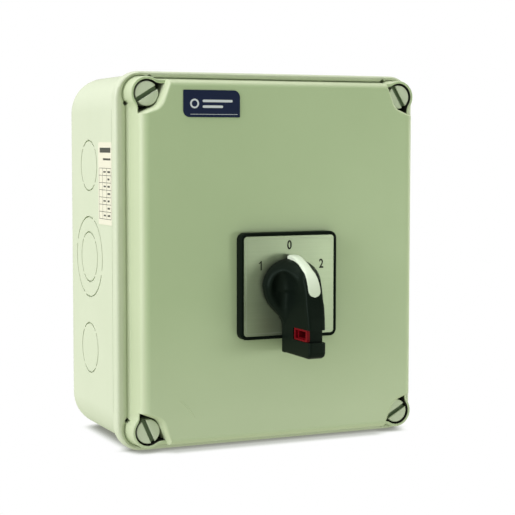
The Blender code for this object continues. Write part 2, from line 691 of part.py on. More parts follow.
def build_earth_terminal():
    half_length, half_height, wire_offset = 14.0, 3.6, 9.0
    bar = box("earth_terminal_bar", span(EARTH_X, half_length), (-13.6, -6.3),
              span(EARTH_Z, half_height), mat="brass")
    cut(bar, rod("earth_hole", EARTH, 2.2, 0.0, -20.0, 12))
    for i, x in enumerate(span(EARTH_X, wire_offset)):
        cut(bar, rod("earth_wire_hole_%d" % i, (x, -9.9), 2.0, -70.0, -50.0, 12, axis="Z"))
    turned("earth_terminal_screw", stepped_profile(-16.6, 3.4, -13.9, 1.6, -3.0),
           EARTH, 10, mat="zinc_steel")


# ================================================================ switch block
def build_rail_foot():
    """Foot of the block, with a hook over each edge of the rail."""
    foot = prism("rail_foot", rounded_rect(22.5, 22.5, 2.0, 2, AXIS), -13.1, FOOT_FRONT_Y,
                 mat="deck_plastic")
    hook = [(-14.0, 17.8), (-14.0, 20.6), (-9.6, 20.6), (-9.6, 15.2),
            (-11.4, 15.2), (-11.4, 17.8)]     # (y, distance in z from the axis)
    for side in (-1, 1):
        outline = yz_from_axis([(y, side * z) for y, z in hook])
        join(foot, prism("rail_hook_%d" % side, outline, *span(AXIS_X, 8.0), plane="YZ"))
    for i, center in enumerate(diagonal_pair(TIE_OFFSET)):
        cut(foot, rod("foot_tie_hole_%d" % i, center, TIE_HOLE_RADIUS, -15.0, -25.0, 8))


def build_decks():
    """One deck to a pole, with a well for each of its three contacts."""
    rear_y = DECK_REAR_Y[0]
    deck = prism("pole_deck_1",
                 [rounded_rect(FRONT_HALF, FRONT_HALF, DECK_RADIUS, 2, AXIS),
                  circle(AXIS, 10.5, 18)]
                 + [circle(center, TIE_HOLE_RADIUS, 8) for center in diagonal_pair(TIE_OFFSET)],
                 rear_y, rear_y - DECK_THICKNESS, mat="deck_plastic")
    for contact, angle in CONTACT_ANGLES.items():
        well = box("well_" + contact, (8.5, 30.0), (rear_y - 9.4, rear_y - 1.5), (-3.5, 3.5))
        well.matrix_world = spin(angle)
        cut(deck, well)
    bake(deck)
    for i in range(1, DECK_COUNT):
        copy_of(deck, "pole_deck_%d" % (i + 1), deck_shift(i))


def build_contacts():
    """Angled contacts and their screws, drawn along +X with y from the deck's rear."""
    section = [(10.7, -2.3), (21.4, -2.3), (21.4, -9.0), (20.2, -9.0),
               (20.2, -3.5), (10.7, -3.5)]    # (distance from the axis, y)
    place = (TERMINAL_Y, 0.0)
    contact = prism("contact_common_1", section, -3.0, 3.0, plane="XY", mat="brass")
    cut(contact, rod("contact_hole", place, 1.8, 18.0, 24.0, 8, axis="X"))
    bake(contact)
    screw = rod("terminal_screw_common_1", place, 2.6, 21.7, 24.0, 10, axis="X",
                mat="zinc_steel")
    join(screw, rod("terminal_shank", place, 1.4, 16.5, 22.5, 8, axis="X"))
    cut(screw, box("terminal_slot", (23.2, 25.0), (-10.0, -2.0), (-0.4, 0.4)))
    bake(screw)
    for i, rear_y in enumerate(DECK_REAR_Y):
        for name, angle in CONTACT_ANGLES.items():
            matrix = spin(angle, rear_y)
            if i == 0 and name == "common":
                contact.matrix_world = matrix
                screw.matrix_world = matrix
                continue
            copy_of(contact, "contact_%s_%d" % (name, i + 1), matrix)
            copy_of(screw, "terminal_screw_%s_%d" % (name, i + 1), matrix)


def build_detent():
    """Detent housing in front of the decks, tie bolts and the two springs."""
    housing = prism("detent_housing",
                    rounded_rect(FRONT_HALF, FRONT_HALF, DECK_RADIUS, 2, AXIS),
                    DETENT_REAR_Y, -64.0, mat="deck_plastic")
    cut(housing,
        rod("detent_cavity", AXIS, 15.5, -50.0, -61.5, 20),
        rod("detent_bore", AXIS, 5.2, -50.0, -70.0, 12))
    bolt = stepped_profile(-66.9, 3.4, -64.3, 1.6, -15.4)
    for i, center in enumerate(diagonal_pair(TIE_OFFSET)):
        cut(housing, rod("detent_tie_hole_%d" % i, center, TIE_HOLE_RADIUS,
                         -50.0, -70.0, 8))
        turned("tie_bolt_" + ("left", "right")[i], bolt, center, 10, mat="zinc_steel")
    # leaf springs, bowed towards the star
    nearest, bow, half_height, thickness = 11.35, 0.8, 8.0, 0.7
    for sign, side in ((-1, "left"), (1, "right")):
        inner = [(sign * (nearest + bow * (z / half_height) ** 2), z)
                 for z in (-8, -5, -2.5, 0, 2.5, 5, 8)]
        outer = [(x + sign * thickness, z) for x, z in reversed(inner)]
        prism("detent_spring_" + side, from_axis(inner + outer), -54.5, -58.5,
              mat="zinc_steel")


def build_star():
    """Six-lobed detent star with a square bore."""
    count, lobes, mean_radius, lobe_height = 36, 6, 9.9, 1.0
    star = []
    for i in range(count):
        angle = 2 * math.pi * i / count
        radius = mean_radius + lobe_height * math.cos(lobes * angle)
        star.append((radius * math.cos(angle), radius * math.sin(angle)))
    square = [(-BORE_HALF, -BORE_HALF), (BORE_HALF, -BORE_HALF),
              (BORE_HALF, BORE_HALF), (-BORE_HALF, BORE_HALF)]
    prism("detent_star", [from_axis(star), from_axis(square)], -54.2, -58.8,
          mat="rotor_plastic")


def build_shaft_and_rotors():
    """Square shaft, and a rotor with a ring-shaped contact blade in each deck."""
    shaft_half = 2.7
    box("drive_shaft", span(AXIS_X, shaft_half), (-103.0, -20.8), span(AXIS_Z, shaft_half),
        mat="zinc_steel")
    rotor = turned("rotor_1", stepped_profile(-30.6, 6.0, -22.3, 9.4, -20.45), AXIS, 16,
                   mat="rotor_plastic")
    cut(rotor, box("rotor_bore", span(AXIS_X, BORE_HALF), (-40, -10),
                   span(AXIS_Z, BORE_HALF)))
    bake(rotor)
    blade = prism("contact_blade_1",
                  [circle(AXIS, 9.3, 18), circle(AXIS, 6.3, 18, math.pi / 18)],
                  -22.6, -23.8, mat="copper")
    tongue = [(-2.6, 7.2), (2.6, 7.2), (2.6, 9.75), (-2.6, 9.75)]
    join(blade, prism("blade_tongue", from_axis(tongue), -22.3, -24.1))
    bake(blade)
    for i in range(1, DECK_COUNT):
        copy_of(rotor, "rotor_%d" % (i + 1), deck_shift(i))
        copy_of(blade, "contact_blade_%d" % (i + 1), deck_shift(i))


# ================================================================ joints
def axis_empty(name, center, y, moving):
    """An empty on a joint's axis, with the pieces that turn or slide on it."""
    empty = bpy.data.objects.new(name, None)
    empty.empty_display_size = 0.01
    empty.location = Vector((center[0], y, center[1])) * MM
    PARTS.objects.link(empty)
    bpy.context.view_layer.update()
    for piece_name in moving:
        piece = bpy.data.objects[piece_name]
        world = piece.matrix_world.copy()
        piece.parent = empty
        piece.matrix_parent_inverse = empty.matrix_world.inverted()
        piece.matrix_world = world


def build_joints():
    axis_empty("handle_axis", AXIS, HANDLE_REAR_Y,
               ["handle", "handle_pointer", "handle_clip", "padlock_slide"])
    turning = ["%s_%d" % (name, i + 1) for name in ("rotor", "contact_blade")
               for i in range(DECK_COUNT)]
    axis_empty("shaft_axis", AXIS, -60.0, ["drive_shaft", "detent_star"] + turning)
    for key, center in at_corners(SCREW_X, SCREW_Z):
        axis_empty("cover_screw_axis_" + key, center, SCREW_HEAD_Y, ["cover_screw_" + key])


def shade_parts():
    for obj in PARTS.objects:
        if obj.type == "MESH":
            obj.data.shade_smooth()
            obj.data.set_sharp_from_angle(angle=math.radians(35))


build_base()
build_cover()
build_cover_gasket()
build_cover_screws()
build_labels()
build_front()
build_handle()
build_handle_fittings()
build_rail()
build_earth_terminal()
build_rail_foot()
build_decks()
build_contacts()
build_detent()
build_star()
build_shaft_and_rotors()
build_joints()
shade_parts()
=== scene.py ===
"""Looks of the enclosed rotary isolator: fine meshes, materials, light and camera,
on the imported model's frame. Millimetres in the helpers, metres in the scene."""
import math

import bmesh
import bpy
import numpy as np
from mathutils import Matrix, Vector


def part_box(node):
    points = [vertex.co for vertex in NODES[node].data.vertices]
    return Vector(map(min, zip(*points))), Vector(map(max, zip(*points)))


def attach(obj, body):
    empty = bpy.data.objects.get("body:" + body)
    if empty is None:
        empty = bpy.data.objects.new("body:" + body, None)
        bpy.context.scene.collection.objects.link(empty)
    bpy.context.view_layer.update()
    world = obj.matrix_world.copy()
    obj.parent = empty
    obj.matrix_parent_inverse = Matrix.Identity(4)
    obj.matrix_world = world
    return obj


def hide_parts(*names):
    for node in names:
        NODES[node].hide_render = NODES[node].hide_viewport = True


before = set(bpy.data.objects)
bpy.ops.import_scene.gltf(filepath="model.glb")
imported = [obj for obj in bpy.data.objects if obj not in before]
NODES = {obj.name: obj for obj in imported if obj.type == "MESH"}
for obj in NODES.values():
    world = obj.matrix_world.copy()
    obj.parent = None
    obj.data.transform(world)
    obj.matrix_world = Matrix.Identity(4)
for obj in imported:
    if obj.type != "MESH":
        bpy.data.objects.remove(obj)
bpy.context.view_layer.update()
MM = 0.001


def mid(node, axis):
    lo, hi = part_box(node)
    return (lo[axis] + hi[axis]) / 2 / MM


# ---------------------------------------------------------------- measures, from the frame
B_LO, B_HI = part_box("enclosure_base")
C_LO, C_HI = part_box("enclosure_cover")
BOX_HX = (B_HI[0] - B_LO[0]) / 2 / MM
BOX_HZ = (B_HI[2] - B_LO[2]) / 2 / MM
RIM_Y = B_LO[1] / MM
PANEL_Y = C_LO[1] / MM
SCREW_X = mid("cover_screw_tr", 0)
SCREW_Z = mid("cover_screw_tr", 2)
HEAD_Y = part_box("cover_screw_tr")[0][1] / MM
AX = mid("escutcheon_frame", 0)
AZ = mid("escutcheon_frame", 2)
ESC_H = (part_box("escutcheon_frame")[1][0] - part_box("escutcheon_frame")[0][0]) / 2 / MM
ESC_Y1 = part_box("escutcheon_frame")[0][1] / MM
ESC_Y0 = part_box("escutcheon_frame")[1][1] / MM
PLATE_H = (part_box("escutcheon_plate")[1][0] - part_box("escutcheon_plate")[0][0]) / 2 / MM
PLATE_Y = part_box("escutcheon_plate")[0][1] / MM
HANDLE_Y0 = PLATE_Y - 0.7

BOX_R, BOX_REAR_R, WALL, BACK = 12.0, 8.0, 2.5, 3.0
BODY_HX, BODY_HZ, BODY_R, BODY_Y = 74.6, 83.9, 17.0, -66.0
FRAME_Y0, FRAME_Y1 = -62.0, -66.0
COVER_REAR_Y = C_HI[1] / MM
SKIRT_HX, SKIRT_HZ = 69.8, 81.8
PANEL_HX, PANEL_HZ = 67.9, 80.6
EAR_R, EAR_FILLET, EAR_Y = 8.2, 4.0, -79.3
EAR_IN = (67.1, 78.8, 6.2, 6.3)
POCKET_Y = -70.2
DRAINS = ((70.0, 70.3), (58.8, 82.0))
SCREW_ANGLE = {"tl": 31.0, "tr": -59.0, "bl": -66.0, "br": 30.0}
CORNERS = {"tl": (-1, 1), "tr": (1, 1), "bl": (-1, -1), "br": (1, -1)}
KNOCK_Y, KNOCK_Z, KNOCK_R1, KNOCK_R2 = -32.8, (42.5, 0.4, -42.0), 11.5, 18.5

VIS = bpy.data.collections.new("visual")
AUX = bpy.data.collections.new("helpers")
bpy.context.scene.collection.children.link(VIS)
bpy.context.scene.collection.children.link(AUX)


# ================================================================ materials
class Nodes:
    """A little shorthand for building node trees."""

    def __init__(self, name):
        self.m = bpy.data.materials.new(name)
        self.m.use_nodes = True
        self.t = self.m.node_tree
        self.b = self.t.nodes["Principled BSDF"]
        tc = self.t.nodes.new("ShaderNodeTexCoord")
        self.co = tc.outputs["Object"]

    def n(self, kind, **kw):
        node = self.t.nodes.new(kind)
        for k, v in kw.items():
            if k in node.inputs:
                node.inputs[k].default_value = v
            else:
                setattr(node, k, v)
        return node

    def link(self, a, b):
        self.t.links.new(a, b)

    def noise(self, scale, detail=3.0, rough=0.5, stretch=None, distortion=0.0):
        co = self.co
        if stretch:
            mp = self.n("ShaderNodeMapping")
            mp.inputs["Scale"].default_value = stretch
            self.link(co, mp.inputs["Vector"])
            co = mp.outputs["Vector"]
        t = self.n("ShaderNodeTexNoise", Scale=scale, Detail=detail, Roughness=rough,
                   Distortion=distortion)
        self.link(co, t.inputs["Vector"])
        return t.outputs["Fac"]

    def ramp(self, fac, stops, interp="LINEAR"):
        r = self.n("ShaderNodeValToRGB")
        r.color_ramp.interpolation = interp
        e = r.color_ramp.elements
        while len(e) < len(stops):
            e.new(0.5)
        for el, (p, c) in zip(e, stops):
            el.position = p
            el.color = (*c, 1.0) if len(c) == 3 else c
        self.link(fac, r.inputs["Fac"])
        return r.outputs["Color"]

    def mapr(self, fac, lo, hi, a=0.0, b=1.0):
        r = self.n("ShaderNodeMapRange")
        r.inputs["From Min"].default_value = a
        r.inputs["From Max"].default_value = b
        r.inputs["To Min"].default_value = lo
        r.inputs["To Max"].default_value = hi
        self.link(fac, r.inputs["Value"])
        return r.outputs["Result"]

    def mix(self, fac, a, b, blend="MIX"):
        r = self.n("ShaderNodeMix", data_type="RGBA", blend_type=blend)
        for sock, v in ((r.inputs["Factor"], fac), (r.inputs[6], a), (r.inputs[7], b)):
            if isinstance(v, (int, float)):
                sock.default_value = v
            elif isinstance(v, tuple):
                sock.default_value = (*v, 1.0) if len(v) == 3 else v
            else:
                self.link(v, sock)
        return r.outputs[2]

    def bump(self, height, strength, dist, prev=None):
        r = self.n("ShaderNodeBump")
        r.inputs["Strength"].default_value = strength
        r.inputs["Distance"].default_value = dist
        self.link(height, r.inputs["Height"])
        if prev is not None:
            self.link(prev, r.inputs["Normal"])
        return r.outputs["Normal"]

    def edge(self, radius=0.0006):
        """0 on flats, towards 1 on convex edges."""
        bv = self.n("ShaderNodeBevel", samples=4)
        bv.inputs["Radius"].default_value = radius
        geo = self.n("ShaderNodeNewGeometry")
        dot = self.n("ShaderNodeVectorMath", operation="DOT_PRODUCT")
        self.link(bv.outputs["Normal"], dot.inputs[0])
        self.link(geo.outputs["Normal"], dot.inputs[1])
        return self.mapr(dot.outputs["Value"], 1.0, 0.0, 0.80, 1.0)

    def set(self, **kw):
        for k, v in kw.items():
            s = self.b.inputs[k.replace("_", " ")]
            if isinstance(v, (int, float)):
                s.default_value = v
            elif isinstance(v, tuple):
                s.default_value = (*v, 1.0) if len(v) == 3 else v
            else:
                self.link(v, s)
        return self.m


def moulded(name, dark, light, rough, grain=0.25, spec=0.5, front=None):
    """Moulded thermoplastic: faint flow mottling, fine spark-eroded grain."""
    g = Nodes(name)
    mott = g.noise(22.0, 4.0, 0.55)
    fine = g.noise(900.0, 3.0, 0.6)
    col = g.mix(g.mapr(mott, 0.0, 1.0, 0.30, 0.70), dark, light)
    col = g.mix(g.mapr(fine, 0.0, 0.10), col, tuple(c * 0.86 for c in dark))
    if front:
        # painted light: the flat front is painted darker than the skirt, grading back to full colour, a touch
        # lighter, towards the bottom, in place of floor light
        geo = g.n("ShaderNodeNewGeometry")
        dot = g.n("ShaderNodeVectorMath", operation="DOT_PRODUCT")
        g.link(geo.outputs["Normal"], dot.inputs[0])
        dot.inputs[1].default_value = (0.0, -1.0, 0.0)
        sep = g.n("ShaderNodeSeparateXYZ")
        g.link(geo.outputs["Position"], sep.inputs[0])
        painted_front_tone = g.mix(g.mapr(sep.outputs["Z"], 1.0, 0.0, -0.070, -0.015), front[0], front[1])
        col = g.mix(g.mapr(dot.outputs["Value"], 0.0, 1.0, 0.80, 0.99), col, g.mix(1.0, col, painted_front_tone, "MULTIPLY"))
    r = g.mapr(g.noise(160.0, 4.0, 0.6), rough - 0.05, rough + 0.06)
    nrm = g.bump(g.noise(1500.0, 2.0, 0.5), grain, 0.00006)
    nrm = g.bump(g.noise(14.0, 2.0, 0.5), 0.10, 0.0006, nrm)
    return g.set(Base_Color=col, Roughness=r, Normal=nrm, Specular_IOR_Level=spec)


MAT = {}
MAT["box"] = moulded("box_plastic_fine", (0.540, 0.600, 0.450), (0.565, 0.622, 0.474), 0.46)
# the front tones are painted light: painted shade on the flat front, lighter towards the bottom
MAT["cover"] = moulded("cover_plastic_fine", (0.480, 0.556, 0.368), (0.502, 0.578, 0.388), 0.44,
                       front=((0.835, 0.915, 0.815), (1.00, 1.03, 1.03)))
# near-black colour for the screw pockets' bottom and sides
MAT["pocket"] = moulded("pocket_near_black", (0.010, 0.011, 0.009), (0.014, 0.016, 0.012), 0.7)
MAT["screw"] = moulded("screw_plastic_fine", (0.52, 0.59, 0.45), (0.56, 0.63, 0.49), 0.42, 0.35)
MAT["slot"] = moulded("screw_slot_shade", (0.19, 0.26, 0.155), (0.22, 0.29, 0.185), 0.6, 0.3, 0.2)
MAT["rubber"] = moulded("rubber_fine", (0.012, 0.012, 0.012), (0.02, 0.02, 0.02), 0.75, 0.5)
MAT["deck"] = moulded("deck_plastic_fine", (0.030, 0.031, 0.034), (0.045, 0.046, 0.05), 0.5, 0.5)
MAT["rotor"] = moulded("rotor_plastic_fine", (0.50, 0.45, 0.34), (0.58, 0.53, 0.42), 0.5, 0.4)
MAT["white"] = moulded("white_plastic_fine", (0.63, 0.71, 0.58), (0.67, 0.75, 0.62), 0.40, 0.15, 0.3)


def black_plastic(name, rough=0.30, spec=0.22):
    g = Nodes(name)
    mott = g.noise(60.0, 4.0, 0.6)
    col = g.mix(g.mapr(mott, 0.0, 1.0, 0.3, 0.7), (0.0030, 0.0056, 0.0040), (0.0044, 0.0074, 0.0055))
    # painted highlight: convex edges are painted a little lighter
    col = g.mix(g.mapr(g.edge(0.0004), 0.0, 0.16), col, (0.018, 0.024, 0.019))
    r = g.mapr(g.noise(240.0, 4.0, 0.55), rough - 0.04, rough + 0.06)
    nrm = g.bump(g.noise(1500.0, 2.0, 0.5), 0.12, 0.00004)
    nrm = g.bump(g.noise(40.0, 2.0, 0.5), 0.06, 0.0002, nrm)
    return g.set(Base_Color=col, Roughness=r, Normal=nrm, Specular_IOR_Level=spec,
                 Specular_Tint=(0.72, 1.0, 0.80))


MAT["black"] = black_plastic("black_plastic_fine", 0.44, 0.09)
MAT["ring"] = black_plastic("black_ring_fine", 0.42, 0.035)


def red_plastic():
    g = Nodes("red_plastic_fine")
    col = g.mix(g.mapr(g.noise(90.0, 3.0), 0.0, 1.0, 0.3, 0.7), (0.115, 0.0015, 0.0050), (0.165, 0.0026, 0.0075))
    # painted highlight: convex edges are painted a brighter red
    col = g.mix(g.mapr(g.edge(0.0003), 0.0, 0.4), col, (0.27, 0.008, 0.014))
    r = g.mapr(g.noise(300.0, 4.0), 0.34, 0.46)
    return g.set(Base_Color=col, Roughness=r, Normal=g.bump(g.noise(1300.0), 0.2, 0.00004),
                 Specular_IOR_Level=0.10, Specular_Tint=(1.0, 0.6, 0.6))


MAT["red"] = red_plastic()


def brushed(name, a, b, metal, rough, along="x", bump=0.25):
    """Metal with fine brushing along one axis."""
    g = Nodes(name)
    st = {"x": (6.0, 900.0, 900.0), "z": (900.0, 900.0, 6.0), "y": (900.0, 6.0, 900.0)}[along]
    lines = g.noise(1.0, 4.0, 0.7, stretch=st)
    blot = g.noise(70.0, 3.0, 0.5)
    col = g.mix(g.mapr(lines, 0.0, 1.0, 0.3, 0.7), a, b)
    col = g.mix(g.mapr(blot, 0.0, 0.18, 0.35, 0.65), col, tuple(c * 0.82 for c in a))
    r = g.mapr(lines, rough - 0.07, rough + 0.08)
    return g.set(Base_Color=col, Metallic=metal, Roughness=r,
                 Normal=g.bump(lines, bump, 0.00003))


MAT["plate"] = brushed("silver_plate_fine", (0.270, 0.325, 0.228), (0.300, 0.355, 0.252), 0.75, 0.36, "x", 0.05)
MAT["steel"] = brushed("zinc_steel_fine", (0.50, 0.50, 0.48), (0.64, 0.64, 0.60), 1.0, 0.32, "x")
MAT["steel_y"] = brushed("zinc_steel_shaft", (0.50, 0.50, 0.48), (0.64, 0.64, 0.60), 1.0, 0.30, "y")
MAT["brass"] = brushed("brass_fine", (0.56, 0.38, 0.12), (0.70, 0.50, 0.20), 1.0, 0.32, "z")
MAT["copper"] = brushed("copper_fine", (0.60, 0.30, 0.17), (0.76, 0.42, 0.26), 1.0, 0.30, "x")


def printed(name, base, edge_col, rough, fade, spec=0.5):
    g = Nodes(name)
    col = g.mix(g.mapr(g.noise(120.0, 4.0, 0.6), 0.0, fade), base, edge_col)
    r = g.mapr(g.noise(400.0, 3.0), rough - 0.05, rough + 0.07)
    return g.set(Base_Color=col, Roughness=r, Normal=g.bump(g.noise(700.0), 0.08, 0.00003),
                 Specular_IOR_Level=spec)


MAT["navy"] = printed("navy_foil", (0.0045, 0.010, 0.040), (0.0075, 0.016, 0.062), 0.42, 0.8, 0.16)
MAT["foil_white"] = printed("badge_white", (0.62, 0.66, 0.72), (0.50, 0.54, 0.62), 0.38, 0.4)
MAT["paper"] = printed("label_paper", (0.70, 0.69, 0.56), (0.64, 0.63, 0.51), 0.55, 0.5)
MAT["ink"] = printed("printed_ink", (0.010, 0.011, 0.010), (0.016, 0.018, 0.015), 0.80, 0.5, 0.10)
MAT["ink_grey"] = printed("printed_grey_ink", (0.030, 0.034, 0.026), (0.070, 0.076, 0.060), 0.55, 0.6)
MAT["ink_line"] = printed("plate_border_ink", (0.30, 0.33, 0.27), (0.40, 0.43, 0.36), 0.45, 0.5)


# ================================================================ outlines
def arc(cx, cz, r, a0, a1, n):
    return [(cx + r * math.cos(math.radians(a0 + (a1 - a0) * i / n)),
             cz + r * math.sin(math.radians(a0 + (a1 - a0) * i / n))) for i in range(n + 1)]


def circle(cx, cz, r, n=48, phase=0.0):
    return [(cx + r * math.cos(2 * math.pi * i / n + phase),
             cz + r * math.sin(2 * math.pi * i / n + phase)) for i in range(n)]


def rrect(hx, hz, r, n=10, cx=0.0, cz=0.0):
    pts = []
    for sx, sz, a in ((1, 1, 0), (-1, 1, 90), (-1, -1, 180), (1, -1, 270)):
        pts += arc(cx + sx * (hx - r), cz + sz * (hz - r), r, a, a + 90, n)
    return pts


def four_corners(q):
    return list(q) + [(-x, z) for x, z in reversed(q)] + [(-x, -z) for x, z in q] + \
        [(x, -z) for x, z in reversed(q)]


def eared(hx, hz, r, f, n_fillet=8, n_ear=26):
    cx, cz = SCREW_X, SCREW_Z
    fx, gz = hx + f, hz + f
    fz = cz - math.sqrt((r + f) ** 2 - (fx - cx) ** 2)
    gx = cx - math.sqrt((r + f) ** 2 - (gz - cz) ** 2)
    a = math.degrees(math.atan2(fz - cz, fx - cx))
    b = math.degrees(math.atan2(gz - cz, gx - cx))
    q = arc(fx, fz, f, 180.0, 180.0 + a, n_fillet)
    q += arc(cx, cz, r, a, b, n_ear)[1:-1]
    q += arc(gx, gz, f, b + 180.0, 270.0, n_fillet)
    return four_corners(q)


def cover_outline(o=0.0):
    return eared(SKIRT_HX + o, SKIRT_HZ + o, EAR_R + o, EAR_FILLET - o)


def concave_rect(hx, hz, cx, cz, r, n=24):
    z0 = cz - math.sqrt(r * r - (hx - cx) ** 2)
    x1 = cx - math.sqrt(r * r - (hz - cz) ** 2)
    a0 = math.degrees(math.atan2(z0 - cz, hx - cx)) % 360.0
    a1 = math.degrees(math.atan2(hz - cz, x1 - cx)) % 360.0
    return four_corners(arc(cx, cz, r, a0, a1, n))


def resample(pts, n):
    d = [0.0]
    for p, q in zip(pts, pts[1:]):
        d.append(d[-1] + math.dist(p, q))
    out, j = [], 0
    for i in range(n):
        t = d[-1] * i / (n - 1)
        while j < len(d) - 2 and d[j + 1] < t:
            j += 1
        s = (t - d[j]) / max(d[j + 1] - d[j], 1e-9)
        out.append((pts[j][0] + s * (pts[j + 1][0] - pts[j][0]),
                    pts[j][1] + s * (pts[j + 1][1] - pts[j][1])))
    return out


def notch(e, x_end, z_end, n=14):
    """The panel's corner cut, +X +Z corner: two flared lines and an arc, moved
    inwards by e, from the side x = x_end to the top z = z_end."""
    ta, tb = math.radians(22.6), math.radians(22.4)
    ax, az = 55.15 - e * math.cos(ta), 78.0 - e * math.sin(ta)
    bx, bz = 61.5 - e * math.sin(tb), 68.05 - e * math.cos(tb)
    ka, kb = math.tan(ta), math.tan(tb)
    # x = ax + (az - z) ka ;  z = bz - (x - bx) kb
    x = (ax + ka * (az - bz - bx * kb)) / (1 - ka * kb)
    z = bz - (x - bx) * kb
    r = 6.0 + e
    start = (x_end, bz - (x_end - bx) * kb)
    end = (ax + (az - z_end) * ka, z_end)
    mid_ = fillet_profile([start, (x, z), end], [0, r, 0], n)
    return mid_


def inside(p, poly):
    """Is the point in the polygon."""
    hit = False
    for i in range(len(poly)):
        (x0, z0), (x1, z1) = poly[i - 1], poly[i]
        if (z0 > p[1]) != (z1 > p[1]) and p[0] < x0 + (p[1] - z0) * (x1 - x0) / (z1 - z0):
            hit = not hit
    return hit


def panel_outline(hx, hz, e):
    """Rectangle with the four corner cuts."""
    return four_corners(notch(e, hx, hz))


def pocket_outline(inset, e, n_ear=60, n_arc=40):
    """The screw pocket, +X +Z corner: inner line of the ear wall, closed by
    the panel's corner cut."""
    hx, hz, r, f = EAR_IN[0] - inset, EAR_IN[1] - inset, EAR_IN[2] - inset, EAR_IN[3] + inset
    full = eared(hx, hz, r, f, 24, 60)
    quarter = [(hx, 50.0), (hx, 60.0)] + full[:len(full) // 4] + [(50.0, hz), (40.0, hz)]
    path = notch(e, 90.0, 100.0, 24)
    xs, zs = [p[0] for p in path][::-1], [p[1] for p in path][::-1]

    def over(p):
        return p[1] - float(np.interp(p[0], xs, zs)) if p[0] > xs[0] else -1.0

    def crossing(p, q):
        lo, hi = 0.0, 1.0
        for _ in range(40):
            t = (lo + hi) / 2
            m_ = (p[0] + t * (q[0] - p[0]), p[1] + t * (q[1] - p[1]))
            if (over(m_) > 0) == (over(q) > 0):
                hi = t
            else:
                lo = t
        return (p[0] + hi * (q[0] - p[0]), p[1] + hi * (q[1] - p[1]))
    ins = [i for i, p in enumerate(quarter) if over(p) > 0]
    start = crossing(quarter[ins[0] - 1], quarter[ins[0]])
    end = crossing(quarter[ins[-1] + 1], quarter[ins[-1]])
    ear = resample([start] + quarter[ins[0]:ins[-1] + 1] + [end], n_ear)
    back = [end] + [p for p in path[::-1] if end[0] + 0.02 < p[0] < start[0] - 0.02] + [start]
    return ear + resample(back, n_arc)[1:-1]


# ================================================================ meshes
def obj_from_bm(name, bm, coll, mat=None):
    me = bpy.data.meshes.new(name)
    bm.to_mesh(me)
    bm.free()
    o = bpy.data.objects.new(name, me)
    coll.objects.link(o)
    if mat:
        me.materials.append(MAT[mat])
    if coll is AUX:
        o.hide_render = True
        o.display_type = "WIRE"
    return o


def loft(name, rings, coll=None, mat=None, cap=(True, True), axis="Y"):
    """Closed skin over rings of (u, v) outlines, each at a depth. With axis Y
    the outline is (x, z); with X it is (y, z); with Z it is (x, y)."""
    coll = coll or VIS
    bm = bmesh.new()
    loops = []
    for pts, t in rings:
        if axis == "Y":
            loops.append([bm.verts.new((u * MM, t * MM, v * MM)) for u, v in pts])
        elif axis == "X":
            loops.append([bm.verts.new((t * MM, u * MM, v * MM)) for u, v in pts])
        else:
            loops.append([bm.verts.new((u * MM, v * MM, t * MM)) for u, v in pts])
    for a, b in zip(loops, loops[1:]):
        n = len(a)
        for i in range(n):
            j = (i + 1) % n
            bm.faces.new((a[i], a[j], b[j], b[i]))
    if cap[0]:
        bm.faces.new(loops[0])
    if cap[1]:
        bm.faces.new(loops[-1])
    bmesh.ops.remove_doubles(bm, verts=bm.verts, dist=2e-7)
    bmesh.ops.recalc_face_normals(bm, faces=bm.faces)
    return obj_from_bm(name, bm, coll, mat)


def prism(name, pts, lo, hi, coll=None, mat=None, axis="Y"):
    return loft(name, [(pts, lo), (pts, hi)], coll, mat, axis=axis)


def rings_edge(outline, y_edge, y_in, r, n=4, sign=-1.0):
    """Rings that round the end of a loft: outline(o) at offset 0..-r as the
    depth goes from y_in to y_edge."""
    out = []
    for i in range(n + 1):
        a = math.pi / 2 * i / n
        out.append((outline(-r * (1 - math.cos(a))), y_in + (y_edge - y_in) * math.sin(a)))
    return out


def turned(name, profile, cx, cz, n=64, coll=None, mat=None):
    """Solid of revolution about Y; profile of (radius, y) along its outline."""
    coll = coll or VIS
    bm = bmesh.new()
    loops = []
    for r, y in profile:
        if r < 1e-6:
            loops.append([bm.verts.new((cx * MM, y * MM, cz * MM))])
        else:
            loops.append([bm.verts.new(((cx + r * math.cos(2 * math.pi * i / n)) * MM, y * MM,
                                        (cz + r * math.sin(2 * math.pi * i / n)) * MM))
                          for i in range(n)])
    for a, b in zip(loops, loops[1:]):
        for i in range(n):
            j = (i + 1) % n
            if len(a) == 1 and len(b) == 1:
                continue
            if len(a) == 1:
                bm.faces.new((a[0], b[j], b[i]))
            elif len(b) == 1:
                bm.faces.new((a[i], a[j], b[0]))
            else:
                bm.faces.new((a[i], a[j], b[j], b[i]))
    bmesh.ops.recalc_face_normals(bm, faces=bm.faces)
    return obj_from_bm(name, bm, coll, mat)


def fillet_profile(pts, radii, n=5):
    """Round the corners of an open (r, y) profile."""
    out = [pts[0]]
    for i in range(1, len(pts) - 1):
        r = radii[i]
        p = Vector(pts[i])
        if r <= 0:
            out.append(tuple(p))
            continue
        a = (Vector(pts[i - 1]) - p).normalized()
        b = (Vector(pts[i + 1]) - p).normalized()
        ang = a.angle(b)
        t = r / math.tan(ang / 2)
        t = min(t, (Vector(pts[i - 1]) - p).length * 0.49, (Vector(pts[i + 1]) - p).length * 0.49)
        r2 = t * math.tan(ang / 2)
        c = p + (a + b).normalized() * (r2 / math.sin(ang / 2))
        s, e = p + a * t, p + b * t
        a0 = math.atan2(s.y - c.y, s.x - c.x)
        a1 = math.atan2(e.y - c.y, e.x - c.x)
        d = (a1 - a0 + math.pi) % (2 * math.pi) - math.pi
        out += [(c.x + r2 * math.cos(a0 + d * k / n), c.y + r2 * math.sin(a0 + d * k / n))
                for k in range(n + 1)]
    out.append(pts[-1])
    return out


